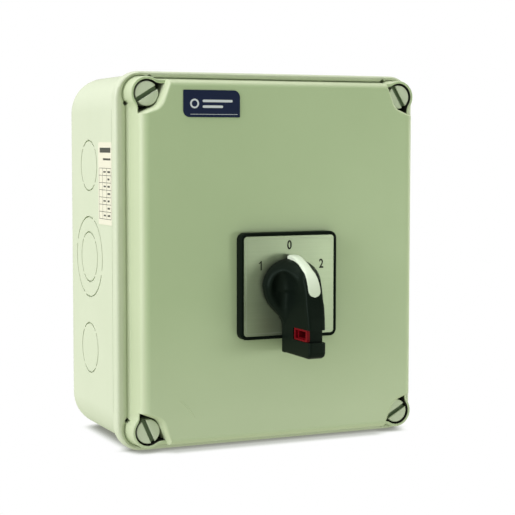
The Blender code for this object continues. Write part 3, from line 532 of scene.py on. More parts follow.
def join_meshes(name, objs, coll):
    """One object from several, as separate shells (for a cutter)."""
    bm = bmesh.new()
    for o in objs:
        me = o.data
        tmp = bmesh.new()
        tmp.from_mesh(me)
        tmp.transform(o.matrix_world)
        m2 = bpy.data.meshes.new("tmp")
        tmp.to_mesh(m2)
        tmp.free()
        bm.from_mesh(m2)
        bpy.data.meshes.remove(m2)
        bpy.data.objects.remove(o, do_unlink=True)
    return obj_from_bm(name, bm, coll)


def boolean(obj, other, op="DIFFERENCE"):
    """Apply one exact boolean straight away."""
    m = obj.modifiers.new("b", "BOOLEAN")
    m.operation = op
    m.solver = "EXACT"
    m.object = other
    bpy.context.view_layer.update()
    dg = bpy.context.evaluated_depsgraph_get()
    me = bpy.data.meshes.new_from_object(obj.evaluated_get(dg))
    obj.modifiers.clear()
    old = obj.data
    obj.data = me
    bpy.data.meshes.remove(old)
    bpy.data.objects.remove(other, do_unlink=True)
    return obj


def tidy(obj, angle=30.0, weighted=True, dissolve=True):
    me = obj.data
    bm = bmesh.new()
    bm.from_mesh(me)
    bmesh.ops.remove_doubles(bm, verts=bm.verts, dist=2e-6)
    bmesh.ops.dissolve_degenerate(bm, edges=bm.edges, dist=1e-6)
    if dissolve:
        bmesh.ops.dissolve_limit(bm, angle_limit=math.radians(0.3), verts=bm.verts, edges=bm.edges)
    loose = [v for v in bm.verts if not v.link_faces]
    bmesh.ops.delete(bm, geom=loose, context="VERTS")
    bm.to_mesh(me)
    bm.free()
    me.shade_smooth()
    me.set_sharp_from_angle(angle=math.radians(angle))
    if weighted:
        w = obj.modifiers.new("flat", "WEIGHTED_NORMAL")
        w.mode = "FACE_AREA"
        w.weight = 100
        w.keep_sharp = True
    return obj


def place(obj, body, slot, *nodes):
    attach(obj, body)
    if nodes:
        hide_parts(*nodes)
    return obj


# ================================================================ box
def build_base():
    n = 8
    rings = []
    for i in range(n + 1):
        a = math.pi / 2 * i / n
        ins = BOX_REAR_R * (1 - math.sin(a)) + 0.35
        rings.append((rrect(BODY_HX - ins, BODY_HZ - ins, max(BODY_R - ins, 0.5), 12),
                      -BOX_REAR_R * (1 - math.cos(a))))
    for o, y in ((-0.02, -64.9), (0.08, -65.5), (0.32, BODY_Y)):
        rings.append((rrect(BODY_HX + o, BODY_HZ + o, BODY_R + o, 12), y))
    for o, y in ((-0.45, BODY_Y - 0.02), (-0.13, BODY_Y - 0.15), (0.0, BODY_Y - 0.5)):
        rings.append((rrect(BOX_HX + o, BOX_HZ + o, BOX_R + o, 12), y))
    r = 1.75
    for i in range(8):
        a = math.pi / 2 * i / 7
        o = -r * (1 - math.cos(a))
        rings.append((rrect(BOX_HX + o, BOX_HZ + 0.62 * o, BOX_R + 0.8 * o, 12), RIM_Y + r - r * math.sin(a)))
    base = loft("box_shell", rings, mat="box")
    hollow = []
    for i in range(5):
        a = math.pi / 2 * i / 4
        ins = 5.5 * (1 - math.sin(a))
        hollow.append((rrect(BODY_HX - WALL - ins, BODY_HZ - WALL - ins, BODY_R - WALL - ins, 8),
                       -BACK - 5.5 * (1 - math.cos(a))))
    hollow.append((rrect(BODY_HX - WALL, BODY_HZ - WALL, BODY_R - WALL, 8), FRAME_Y0))
    boolean(base, loft("c_hollow", hollow, AUX))
    boolean(base, prism("c_mouth", concave_rect(63.5, 75.7, SCREW_X, SCREW_Z, 15.0),
                        FRAME_Y0 + 1.0, -80.0, AUX))
    lip = []
    for o, y in ((0.35, FRAME_Y1), (0.35, -68.9), (0.05, -69.2), (0.05, -69.85), (0.14, -70.02), (0.5, -70.28),
                 (0.95, -70.50), (1.5, -70.71), (2.05, -70.87), (2.6, -70.96), (3.1, -71.02), (3.1, RIM_Y - 5.0)):
        e = max(o - 0.35, 0.0)
        b = min(o, 0.35)
        lip.append((eared(SKIRT_HX + b + 0.8 * e, SKIRT_HZ + b + 0.46 * e, EAR_R + b + 0.46 * e,
                          EAR_FILLET - b - 0.46 * e), y))
    recess = loft("c_recess", lip, AUX)
    for v in recess.data.vertices:          # shallower along the top and bottom edges
        y = v.co.y / MM
        if -71.03 < y < -69.8:
            t = min(max((abs(v.co.x / MM) - 56.0) / 15.0, 0.0), 1.0)
            k = 0.30 + 0.70 * t * t * (3 - 2 * t)
            v.co.y = (-71.03 + (y + 71.03) * k) * MM
    boolean(base, recess)
    pillars = []
    for key, (sx, sz) in CORNERS.items():
        pillars.append(turned("pillar", fillet_profile(
            [(0, -4.4), (6.0, -4.4), (6.0, -67.4), (0, -67.4)], [0, 0, 0.6, 0]),
            sx * SCREW_X, sz * SCREW_Z, 36, AUX))
    for i, x in enumerate((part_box("rail_screw_left"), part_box("rail_screw_right"))):
        cx = (x[0][0] + x[1][0]) / 2 / MM
        cz = (x[0][2] + x[1][2]) / 2 / MM
        pillars.append(turned("boss", [(0, -2), (5.0, -2), (5.0, -5), (0, -5)], cx, cz, 32, AUX))
    ex, ez = mid("earth_terminal_screw", 0), mid("earth_terminal_screw", 2)
    pillars.append(turned("boss", [(0, -2), (4.0, -2), (4.0, -6), (0, -6)], ex, ez, 32, AUX))
    boolean(base, join_meshes("c_pillars", pillars, AUX), "UNION")
    bores = []
    for key, (sx, sz) in CORNERS.items():
        bores.append(turned("bore", [(0, -44), (4.0, -44), (4.0, -80), (0, -80)],
                            sx * SCREW_X, sz * SCREW_Z, 32, AUX))
        bores.append(turned("fix", [(0, 1), (2.6, 1), (2.6, -5), (0, -5)],
                            sx * 50.0, sz * 62.0, 28, AUX))
        for px, pz in DRAINS:
            d = 1.3
            bores.append(prism("drain", [(sx * px + dx, sz * pz + dz) for dx, dz in
                                         ((d, 0), (0, d), (-d, 0), (0, -d))], -66.6, -80.0, AUX))
    for node, dy in (("rail_screw_left", 0), ("rail_screw_right", 0), ("earth_terminal_screw", 0)):
        bores.append(turned("bore", [(0, -1.4), (1.9, -1.4), (1.9, -8), (0, -8)],
                            mid(node, 0), mid(node, 2), 24, AUX))
    boolean(base, join_meshes("c_bores", bores, AUX))
    # knockout rings: a fine groove, broken by small bridges
    rings = []

    def ring(cx, cz, r, depth_lo, depth_hi, axis, phase):
        for k in range(4):
            a0 = phase + 90 * k + 3.5
            a1 = phase + 90 * (k + 1) - 3.5
            w = 0.34
            outer = arc(cx, cz, r + w, a0, a1, 22)
            inner = arc(cx, cz, r - w, a1, a0, 22)
            rings.append(prism("groove", outer + inner, depth_lo, depth_hi, AUX, axis=axis))
    for side in (-1, 1):
        for i, kz in enumerate(KNOCK_Z):
            for r in ((KNOCK_R1, KNOCK_R2) if i == 1 else (KNOCK_R1,)):
                ring(KNOCK_Y, kz, r, side * (BODY_HX - 1.3), side * 77.0, "X", 45.0 if r < 15 else 20.0)
        for kx in (-36.0, 36.0):
            ring(kx, KNOCK_Y, KNOCK_R1, side * (BODY_HZ - 1.3), side * 88.0, "Z", 45.0)
    boolean(base, join_meshes("c_rings", rings, AUX))
    tidy(base, 32.0)
    return place(base, "enclosure", "box_plastic", "enclosure_base")


# ================================================================ cover
def build_cover():
    fd, fx, fz, fe = 3.2, 4.3, 3.2, 2.0     # panel edge rounding: depth, side, top, corner cut
    yw = PANEL_Y + fd

    def wall_o(y):                       # draft of the side wall
        return 0.45 * (y - yw) / (-72.0 - yw)
    rings = [(panel_outline(PANEL_HX + 0.45, PANEL_HZ + 0.45, -0.25), -69.2),
             (panel_outline(PANEL_HX + 0.45, PANEL_HZ + 0.45, -0.25), -72.0),
             (panel_outline(PANEL_HX, PANEL_HZ, -0.25), yw)]
    for i in range(1, 13):
        a = math.pi / 2 * i / 12
        c, sn = 1 - math.cos(a), math.sin(a)
        rings.append((panel_outline(PANEL_HX - fx * c, PANEL_HZ - fz * c, -0.25 + fe * c), yw - fd * sn))
    cover = loft("cover_shell", rings, mat="cover")
    # skirt with a soft root, and the ears standing on it
    sk = [(eared(SKIRT_HX - a, SKIRT_HZ - b, r, f), y) for a, b, r, f, y in (
        (0.0, 0.0, 8.2, 4.0, COVER_REAR_Y), (0.0, 0.0, 8.2, 4.0, -69.55), (0.08, 0.08, 8.13, 4.05, -69.85),
        (0.28, 0.24, 8.02, 4.2, -70.05), (0.62, 0.43, 7.88, 4.35, -70.3), (0.95, 0.58, 7.75, 4.5, -70.65),
        (1.22, 0.70, 7.66, 4.6, -71.25), (1.40, 0.78, 7.60, 4.7, -71.7), (1.50, 0.80, 7.57, 4.8, -72.3))]
    y1 = EAR_Y + 0.55
    sk.append((eared(PANEL_HX + wall_o(y1) - 0.10, PANEL_HZ + wall_o(y1) - 0.10, 7.52, 4.9), y1))
    for i in range(1, 6):
        a = math.pi / 2 * i / 5
        o = 0.55 * (1 - math.cos(a))
        sk.append((eared(PANEL_HX - o, PANEL_HZ - o, 7.52 - o, 4.9 + o), y1 - 0.55 * math.sin(a)))
    boolean(cover, loft("c_skirt", sk, AUX), "UNION")
    pockets = []
    base_p = pocket_outline(0.0, -0.27)
    mid_p = pocket_outline(-0.10, -0.27)
    top_p = pocket_outline(-0.35, -0.27)
    for key, (sx, sz) in CORNERS.items():
        pockets.append(loft("pocket", [([(sx * x, sz * z) for x, z in p], y) for p, y in (
            (base_p, POCKET_Y), (base_p, EAR_Y + 0.45), (mid_p, EAR_Y + 0.16), (top_p, EAR_Y - 0.05),
            (top_p, -90.0))], AUX))
    boolean(cover, join_meshes("c_pockets", pockets, AUX))
    boolean(cover, prism("c_hollow", concave_rect(65.2, 77.4, 69.0, 79.8, 17.6), -60.0, -81.6, AUX))
    holes = [turned("h", [(0, -60), (3.6, -60), (3.6, -75), (0, -75)], sx * SCREW_X, sz * SCREW_Z, 32, AUX)
             for sx, sz in CORNERS.values()]
    holes.append(turned("h", [(0, -75), (9.0, -75), (9.0, -90), (0, -90)], AX, AZ, 48, AUX))
    for nme in ("front_screw_1", "front_screw_2"):
        holes.append(turned("h", [(0, -75), (2.3, -75), (2.3, -90), (0, -90)], mid(nme, 0), mid(nme, 2), 24, AUX))
    for key, (sx, sz) in CORNERS.items():      # water drains at the foot of each ear
        for i, (px, pz) in enumerate(DRAINS):
            if key == "br" and i == 1:
                continue
            d = 1.3
            holes.append(prism("drain", [(sx * px + dx, sz * pz + dz) for dx, dz in
                                         ((d, 0), (0, d), (-d, 0), (0, -d))], -67.0, -72.6, AUX))
    boolean(cover, join_meshes("c_holes", holes, AUX))
    tidy(cover, 32.0)
    # near-black colour on the bottom and sides of the screw pockets
    me = cover.data
    me.materials.append(MAT["pocket"])
    region = pocket_outline(-0.06, -0.32)
    for p in me.polygons:
        c = p.center / MM
        if -69.0 > c.y > EAR_Y + 0.3 and abs(c.x) > 50 and abs(c.z) > 60 and \
                inside((abs(c.x), abs(c.z)), region):
            p.material_index = 1
    return place(cover, "cover", "cover_plastic", "enclosure_cover")


# ---- cover screws
def build_screw(key):
    sx, sz = CORNERS[key]
    x, z = sx * SCREW_X, sz * SCREW_Z
    prof = fillet_profile([(0, HEAD_Y), (5.45, HEAD_Y), (5.45, -70.6), (3.2, -70.6), (3.2, -49.0), (0, -49.0)],
                          [0, 0.5, 0, 0, 0.6, 0])
    s = turned("slotted_screw_" + key, prof, x, z, 72, mat="screw")
    a = math.radians(SCREW_ANGLE[key])
    w, bot = 0.94, HEAD_Y + 2.3
    pts = [(-w - 0.25, HEAD_Y - 1.0), (-w - 0.25, HEAD_Y - 0.02), (-w, HEAD_Y + 0.25), (-w, bot - 0.3),
           (-w + 0.3, bot), (w - 0.3, bot), (w, bot - 0.3), (w, HEAD_Y + 0.25), (w + 0.25, HEAD_Y - 0.02),
           (w + 0.25, HEAD_Y - 1.0)]
    bm = bmesh.new()
    loops = []
    for t in (-9.0, 9.0):
        loops.append([bm.verts.new(((x + t * math.cos(a) - v * math.sin(a)) * MM, y * MM,
                                    (z + t * math.sin(a) + v * math.cos(a)) * MM)) for v, y in pts])
    n = len(pts)
    for i in range(n):
        bm.faces.new((loops[0][i], loops[0][(i + 1) % n], loops[1][(i + 1) % n], loops[1][i]))
    bm.faces.new(loops[0])
    bm.faces.new(loops[1])
    bmesh.ops.recalc_face_normals(bm, faces=bm.faces)
    boolean(s, obj_from_bm("c_slot", bm, AUX))
    tidy(s, 32.0)
    s.data.materials.append(MAT["slot"])
    for f in s.data.polygons:
        cx, cy, cz = (c / MM for c in f.center)
        v = -(cx - x) * math.sin(a) + (cz - z) * math.cos(a)
        if abs(v) < w + 0.02 and HEAD_Y + 0.2 < cy < bot + 0.01 and math.hypot(cx - x, cz - z) < 5.43:
            f.material_index = 1
    return place(s, "cover_screw_" + key, "screw_plastic", "cover_screw_" + key)


build_base()
build_cover()
for k in CORNERS:
    build_screw(k)


# ================================================================ front ring, plate, digits
def build_front():
    rr = 0.9
    rings = [(rrect(ESC_H, ESC_H, 3.2, 10, AX, AZ), PANEL_Y - 0.05)]
    for i in range(6):
        a = math.pi / 2 * i / 5
        o = rr * (1 - math.cos(a))
        rings.append((rrect(ESC_H - o, ESC_H - o, 3.2 - o, 10, AX, AZ), ESC_Y1 + rr - rr * math.sin(a)))
    ring = loft("front_ring", rings, mat="ring")
    rec = [(rrect(22.62, 22.62, 1.7, 8, AX, AZ), ESC_Y1 + 1.2), (rrect(22.62, 22.62, 1.7, 8, AX, AZ), ESC_Y1 + 0.18),
           (rrect(22.8, 22.8, 1.85, 8, AX, AZ), ESC_Y1 - 0.02), (rrect(22.8, 22.8, 1.85, 8, AX, AZ), ESC_Y1 - 3.0)]
    boolean(ring, loft("c_rec", rec, AUX))
    cuts = [turned("c", [(0, -80), (7.4, -80), (7.4, -95), (0, -95)], AX, AZ, 48, AUX)]
    for nme in ("front_screw_1", "front_screw_2"):
        cuts.append(turned("c", [(0, -84), (2.2, -84), (2.2, -87.4), (0, -87.4)], mid(nme, 0), mid(nme, 2), 24, AUX))
    boolean(ring, join_meshes("c_cuts", cuts, AUX))
    tidy(ring, 32.0)
    place(ring, "cover", "black_plastic", "escutcheon_frame")
    h = PLATE_H
    yb = ESC_Y1 + 1.15
    rings = [(rrect(h, h, 1.6, 8, AX, AZ), yb), (rrect(h, h, 1.6, 8, AX, AZ), PLATE_Y + 0.12),
             (rrect(h - 0.05, h - 0.05, 1.55, 8, AX, AZ), PLATE_Y + 0.04),
             (rrect(h - 0.14, h - 0.14, 1.46, 8, AX, AZ), PLATE_Y)]
    plate = loft("dial_plate", rings, mat="plate")
    boolean(plate, turned("c", [(0, -80), (7.6, -80), (7.6, -95), (0, -95)], AX, AZ, 48, AUX))
    tidy(plate, 32.0)
    place(plate, "cover", "silver_plate", "escutcheon_plate")
    # fine printed border
    b = 21.3
    outer, inner = rrect(b, b, 0.9, 6, AX, AZ), rrect(b - 0.16, b - 0.16, 0.78, 6, AX, AZ)
    bm = bmesh.new()
    y0, y1 = PLATE_Y - 0.005, PLATE_Y - 0.03
    vs = [[bm.verts.new((x * MM, y * MM, z * MM)) for x, z in pts] for pts, y in
          ((outer, y0), (outer, y1), (inner, y1), (inner, y0))]
    n = len(outer)
    for a, c in ((0, 1), (1, 2), (2, 3), (3, 0)):
        for i in range(n):
            j = (i + 1) % n
            bm.faces.new((vs[a][i], vs[a][j], vs[c][j], vs[c][i]))
    bmesh.ops.recalc_face_normals(bm, faces=bm.faces)
    line = obj_from_bm("dial_border", bm, VIS, "ink_line")
    place(line, "cover", "silver_plate")
    # digits
    rot = Matrix(((1, 0, 0, 0), (0, 0, -1, 0), (0, 1, 0, 0), (0, 0, 0, 1)))
    for ch, dx, dz in (("0", 0.0, 18.3), ("2", 16.1, 9.4)):
        cu = bpy.data.curves.new("digit_" + ch, "FONT")
        cu.body = ch
        cu.align_x = "CENTER"
        cu.align_y = "CENTER"
        cu.size = 5.6 * MM
        cu.offset = 0.12 * MM
        cu.extrude = 0.02 * MM
        cu.resolution_u = 8
        t = bpy.data.objects.new("t_" + ch, cu)
        AUX.objects.link(t)
        bpy.context.view_layer.update()
        dg = bpy.context.evaluated_depsgraph_get()
        me = bpy.data.meshes.new_from_object(t.evaluated_get(dg))
        bpy.data.objects.remove(t, do_unlink=True)
        vs = np.array([v.co[:] for v in me.vertices])
        c = (vs.max(0) + vs.min(0)) / 2
        hgt = (vs.max(0) - vs.min(0))[1]
        s = 4.2 * MM / hgt
        me.transform(Matrix.Translation(Vector(((AX + dx) * MM, (PLATE_Y - 0.026) * MM, (AZ + dz) * MM))) @ rot
                     @ Matrix.Diagonal((s * 0.80, s, 1.0, 1.0)) @ Matrix.Translation(Vector((-c[0], -c[1], 0))))
        o = bpy.data.objects.new("digit_" + ch, me)
        VIS.objects.link(o)
        me.materials.clear()
        me.materials.append(MAT["ink"])
        place(o, "cover", "silver_plate")
    x, z = AX - 14.2, AZ + 9.3
    one = [(x + 0.45, z - 2.1), (x + 0.45, z + 2.1), (x - 0.02, z + 2.1), (x - 0.25, z + 1.62), (x - 0.92, z + 1.22),
           (x - 0.92, z + 0.78), (x - 0.10, z + 1.10), (x - 0.10, z - 2.1)]
    place(prism("digit_1", one, PLATE_Y - 0.004, PLATE_Y - 0.046, VIS, "ink"), "cover", "silver_plate")


build_front()


# ================================================================ handle
# Distance fields in millimetres: u to the right of the axis, d forward from
# the handle's back, w up.
def smin(a, b, k):
    h = np.clip(0.5 + 0.5 * (b - a) / k, 0, 1)
    return b * (1 - h) + a * h - k * h * (1 - h)


def smax(a, b, k):
    return -smin(-a, -b, k)


def sd_poly(x, y, poly):
    """Signed distance to a closed polygon, negative inside."""
    d = np.full(x.shape, 1e9)
    s = np.ones(x.shape)
    n = len(poly)
    for i in range(n):
        ax, ay = poly[i]
        bx, by = poly[i - 1]
        ex, ey = bx - ax, by - ay
        wx, wy = x - ax, y - ay
        t = np.clip((wx * ex + wy * ey) / (ex * ex + ey * ey), 0, 1)
        d = np.minimum(d, (wx - ex * t) ** 2 + (wy - ey * t) ** 2)
        c1 = y >= ay
        c2 = y < by
        c3 = ex * wy > ey * wx
        flip = (c1 & c2 & c3) | (~c1 & ~c2 & ~c3)
        s = np.where(flip, -s, s)
    return s * np.sqrt(d)


CREST = [(14.5, 1.2), (14.55, 3.2), (14.1, 5.8), (13.2, 8.6), (12.0, 11.2), (10.6, 14.4), (8.9, 17.3), (6.9, 19.9),
         (4.8, 21.8), (2.7, 23.1), (1.1, 23.8), (-0.4, 24.3), (-2.1, 24.7), (-3.7, 25.0), (-8.0, 26.0),
         (-12.6, 26.9), (-18.0, 27.5), (-24.0, 27.7)]
BLADE = [(13.7, 1.6)] + [(min(w, 13.7), d) for w, d in CREST[1:]] + \
        [(-27.6, 27.7), (-29.2, 26.9), (-30.1, 25.0), (-29.9, -2.0), (11.0, -2.0)]


def handle_field(u, d, w):
    au = np.abs(u)
    plan_c = np.hypot(u, np.where(w > 0, w * 1.12, w)) - (13.65 - 0.05 * d)
    tail = np.maximum(au - 4.08, np.maximum(w - 2.0, -29.9 - w))
    plan = smin(plan_c, tail, 6.0)
    # low body round the foot
    f = smax(plan, d - (4.5 + 0.10 * np.clip(w, -8, 0) + 1.0), 2.4)
    # the blade
    hw = 4.45 - 0.35 * np.clip((-w - 8.0) / 10.0, 0, 1) - 2.3 * np.clip((w - 3.5) / 5.0, 0, 1) ** 1.5
    blade = smax(sd_poly(w, d, BLADE), au - hw, 1.3)
    f = smin(f, blade, 0.02 + 3.2 * np.clip((w + 17.0) / 7.0, 0, 1) - 2.9 * np.clip((w - 5.0) / 5.0, 0, 1))
    # the dome over the upper half
    crest = np.interp(-w, [-p[0] for p in CREST[1:]][::1], [p[1] for p in CREST[1:]])
    umax = np.sqrt(np.maximum(13.65 ** 2 - np.where(w > 0, w * 1.12, w) ** 2, 2.0))
    rim = 4.4 + 2.8 * np.clip(w / 13.0, 0, 1)
    t = np.clip(au / umax, 0, 1)
    top = rim + np.maximum(crest - 0.9 - rim, 0) * (1 - t * t) ** 1.5
    dome = smax(smax(plan_c, (d - top) * 0.55, 1.6), -(w + 2.0), 3.0)
    f = smin(f, dome, 0.9)
    # a scoop on each flank, open to the front
    q = ((np.abs((au - 9.15 - 0.01 * np.clip(24.0 - d, 0, 24)) / 4.6)) ** 2.3 + (np.abs((w + 1.4) / 9.3)) ** 2.3) ** (1 / 2.3) - 1.0
    scoop = smax(q * 4.6, 5.0 - d, 5.6)
    f = smax(f, -scoop, 1.1)
    return smax(f, -d, 0.45)


def handle_mesh():
    h = 0.42
    us = np.arange(-15.5, 15.6, h)
    ds = np.arange(-1.6, 30.5, h)
    ws = np.arange(-31.5, 15.9, h)
    U, D, W = np.meshgrid(us, ds, ws, indexing="ij")
    F = handle_field(U, D, W)
    # surface nets: one vertex in each cell the surface crosses
    nx, ny, nz = F.shape
    sgn = F < 0
    cell = np.zeros((nx - 1, ny - 1, nz - 1), int)
    for i in (0, 1):
        for j in (0, 1):
            for k in (0, 1):
                cell += sgn[i:nx - 1 + i, j:ny - 1 + j, k:nz - 1 + k]
    mixed = (cell > 0) & (cell < 8)
    idx = -np.ones(mixed.shape, int)
    ci = np.argwhere(mixed)
    idx[mixed] = np.arange(len(ci))
    pos = np.zeros((len(ci), 3))
    cnt = np.zeros(len(ci))
    corners = [(i, j, k) for i in (0, 1) for j in (0, 1) for k in (0, 1)]
    for a in range(8):
        for b in range(a + 1, 8):
            ca, cb = np.array(corners[a]), np.array(corners[b])
            if np.abs(ca - cb).sum() != 1:
                continue
            fa = F[tuple((ci + ca).T)]
            fb = F[tuple((ci + cb).T)]
            m = (fa < 0) != (fb < 0)
            t = np.where(m, fa / np.where(m, fa - fb, 1.0), 0.0)
            p = ci + ca + t[:, None] * (cb - ca)
            pos[m] += p[m]
            cnt[m] += 1
    pos /= cnt[:, None]
    P = np.stack([us[0] + pos[:, 0] * h, ds[0] + pos[:, 1] * h, ws[0] + pos[:, 2] * h], 1)
    # pull every point onto the exact surface
    for _ in range(4):
        e = 0.02
        f0 = handle_field(P[:, 0], P[:, 1], P[:, 2])
        g = np.stack([(handle_field(P[:, 0] + e, P[:, 1], P[:, 2]) - handle_field(P[:, 0] - e, P[:, 1], P[:, 2])),
                      (handle_field(P[:, 0], P[:, 1] + e, P[:, 2]) - handle_field(P[:, 0], P[:, 1] - e, P[:, 2])),
                      (handle_field(P[:, 0], P[:, 1], P[:, 2] + e) - handle_field(P[:, 0], P[:, 1], P[:, 2] - e))],
                     1) / (2 * e)
        g2 = np.maximum((g ** 2).sum(1), 0.2)
        step = np.clip(f0 / g2, -0.3, 0.3)
        P -= g * step[:, None]
    faces = []
    sx = sgn[:-1, :, :] != sgn[1:, :, :]
    sy = sgn[:, :-1, :] != sgn[:, 1:, :]
    sz = sgn[:, :, :-1] != sgn[:, :, 1:]
    for (i, j, k) in np.argwhere(sx):
        if 0 < j < ny - 1 and 0 < k < nz - 1:
            q = [idx[i, j - 1, k - 1], idx[i, j, k - 1], idx[i, j, k], idx[i, j - 1, k]]
            faces.append(q if sgn[i, j, k] else q[::-1])
    for (i, j, k) in np.argwhere(sy):
        if 0 < i < nx - 1 and 0 < k < nz - 1:
            q = [idx[i - 1, j, k - 1], idx[i - 1, j, k], idx[i, j, k], idx[i, j, k - 1]]
            faces.append(q if sgn[i, j, k] else q[::-1])
    for (i, j, k) in np.argwhere(sz):
        if 0 < i < nx - 1 and 0 < j < ny - 1:
            q = [idx[i - 1, j - 1, k], idx[i, j - 1, k], idx[i, j, k], idx[i - 1, j, k]]
            faces.append(q if sgn[i, j, k] else q[::-1])
    V = np.stack([(AX + P[:, 0]) * MM, (HANDLE_Y0 - P[:, 1]) * MM, (AZ + P[:, 2]) * MM], 1)
    me = bpy.data.meshes.new("grip")
    me.from_pydata(V.tolist(), [], [[int(v) for v in f] for f in faces])
    me.validate()
    bm = bmesh.new()
    bm.from_mesh(me)
    bmesh.ops.recalc_face_normals(bm, faces=bm.faces)
    bm.to_mesh(me)
    bm.free()
    o = bpy.data.objects.new("grip", me)
    VIS.objects.link(o)
    me.materials.append(MAT["black"])
    return o


def box_pts(u0, u1, w0, w1):
    return [(AX + u0, AZ + w0), (AX + u1, AZ + w0), (AX + u1, AZ + w1), (AX + u0, AZ + w1)]


def ridge_at(path, n):
    return resample(path, n)


def build_handle():
    grip = handle_mesh()
    spig = turned("spigot", fillet_profile([(0, HANDLE_Y0 - 3.0), (7.0, HANDLE_Y0 - 3.0), (7.0, -82.0), (6.2, -82.0),
                                            (6.2, -80.6), (7.0, -80.6), (7.0, -79.4), (0, -79.4)],
                                           [0, 0, 0, 0, 0, 0, 0.4, 0]), AX, AZ, 48, AUX)
    boolean(grip, spig, "UNION")
    yf = HANDLE_Y0 - 28.2
    cuts = [prism("c", box_pts(-2.9, 2.9, -2.9, 2.9), -104.0, -70.0, AUX),
            prism("c", box_pts(-2.65, 2.65, -24.9, -16.9), -112.9, -80.0, AUX)]
    boolean(grip, join_meshes("c_in", cuts, AUX))
    # window through both flanks, open at the front above a small hook
    ys0, ys1 = -101.3, -122.0
    w0, w1 = AZ - 22.9, AZ - 17.4
    pts = [(ys1, w0), (ys0 - 0.5, w0), (ys0, w0 + 0.5), (ys0, w1 - 0.5), (ys0 - 0.5, w1), (ys1, w1)]
    left = prism("c", pts, AX - 12.0, AX - 2.65, AUX, axis="X")
    pts = [(-112.0, w0), (ys0 - 0.5, w0), (ys0, w0 + 0.5), (ys0, w1 - 0.5), (ys0 - 0.5, w1), (-112.0, w1)]
    right = prism("c", pts, AX + 2.65, AX + 12.0, AUX, axis="X")
    notch_ = prism("c", [(-113.7, w0), (-122.0, w0), (-122.0, w1), (-113.7, w1)],
                   AX - 2.9, AX + 7.0, AUX, axis="X")
    boolean(grip, join_meshes("c_win", [left, right], AUX))
    boolean(grip, notch_)
    return grip


GRIP = build_handle()
tidy(GRIP, 40.0, weighted=False, dissolve=False)
place(GRIP, "handle", "black_plastic", "handle")

# pointer: a strip laid in the ridge, from the plate to below the axis
def build_pointer():
    path = [(14.3, 1.8)] + CREST[1:13] + [(-3.2, 24.9)]
    fine = resample(path, 200)
    # smooth the corners of the path
    arr = np.array(fine)
    for _ in range(25):
        arr[1:-1] = 0.25 * arr[:-2] + 0.5 * arr[1:-1] + 0.25 * arr[2:]
    arr = np.array(resample([tuple(p) for p in arr], 60))
    seg = np.gradient(arr, axis=0)
    seg /= np.linalg.norm(seg, axis=1)[:, None]
    nrm = np.stack([-seg[:, 1], seg[:, 0]], 1)      # candidate normal in (w, d)
    if nrm[0][0] < 0:
        nrm = -nrm
    L = np.concatenate([[0], np.cumsum(np.linalg.norm(np.diff(arr, axis=0), axis=1))])
    total = L[-1]
    rings = []
    nside = 13

    def surface(u, p, q):
        """How far along the normal the grip's surface lies."""
        lo, hi = np.full(len(u), -3.0), np.full(len(u), 3.0)
        for _ in range(30):
            m_ = (lo + hi) / 2
            v = handle_field(u, p[1] + q[1] * m_, p[0] + q[0] * m_)
            lo, hi = np.where(v < 0, m_, lo), np.where(v < 0, hi, m_)
        return (lo + hi) / 2
    for (p, q, s) in zip(arr, nrm, L):
        half = 2.3 + 0.62 / (1 + math.exp(-(s / total - 0.68) * 16))
        rest = total - s
        if rest < 2.9:
            half *= math.sqrt(max(1 - ((2.9 - rest) / 2.9) ** 2, 0.0004))
        tt = np.linspace(-1, 1, nside)
        h0 = surface(np.zeros(1), p, q)[0]
        hs = surface(tt * half, p, q)
        h0 = max(h0, -0.95)
        hs = np.clip(hs, h0 - 0.5, h0 + 0.3)
        ring = [(t * half, p[0] + q[0] * (h + c), p[1] + q[1] * (h + c))
                for t, h, c in zip(tt, hs, 0.12 + 0.14 * (1 - tt ** 6) ** 0.5)]
        ring += [(t * half, p[0] + q[0] * (h0 - 1.8), p[1] + q[1] * (h0 - 1.8)) for t in tt[::-1]]
        rings.append(ring)
    bm = bmesh.new()
    loops = [[bm.verts.new(((AX + u) * MM, (HANDLE_Y0 - dd) * MM, (AZ + w) * MM)) for u, w, dd in r] for r in rings]
    n = len(loops[0])
    for a, b in zip(loops, loops[1:]):
        for i in range(n):
            j = (i + 1) % n
            bm.faces.new((a[i], a[j], b[j], b[i]))
    bm.faces.new(loops[0])
    bm.faces.new(loops[-1])
    bmesh.ops.recalc_face_normals(bm, faces=bm.faces)
    o = obj_from_bm("pointer_inlay", bm, VIS, "white")
    o.data.shade_smooth()
    o.data.set_sharp_from_angle(angle=math.radians(50))
    place(o, "handle", "white_plastic", "handle_pointer")


build_pointer()


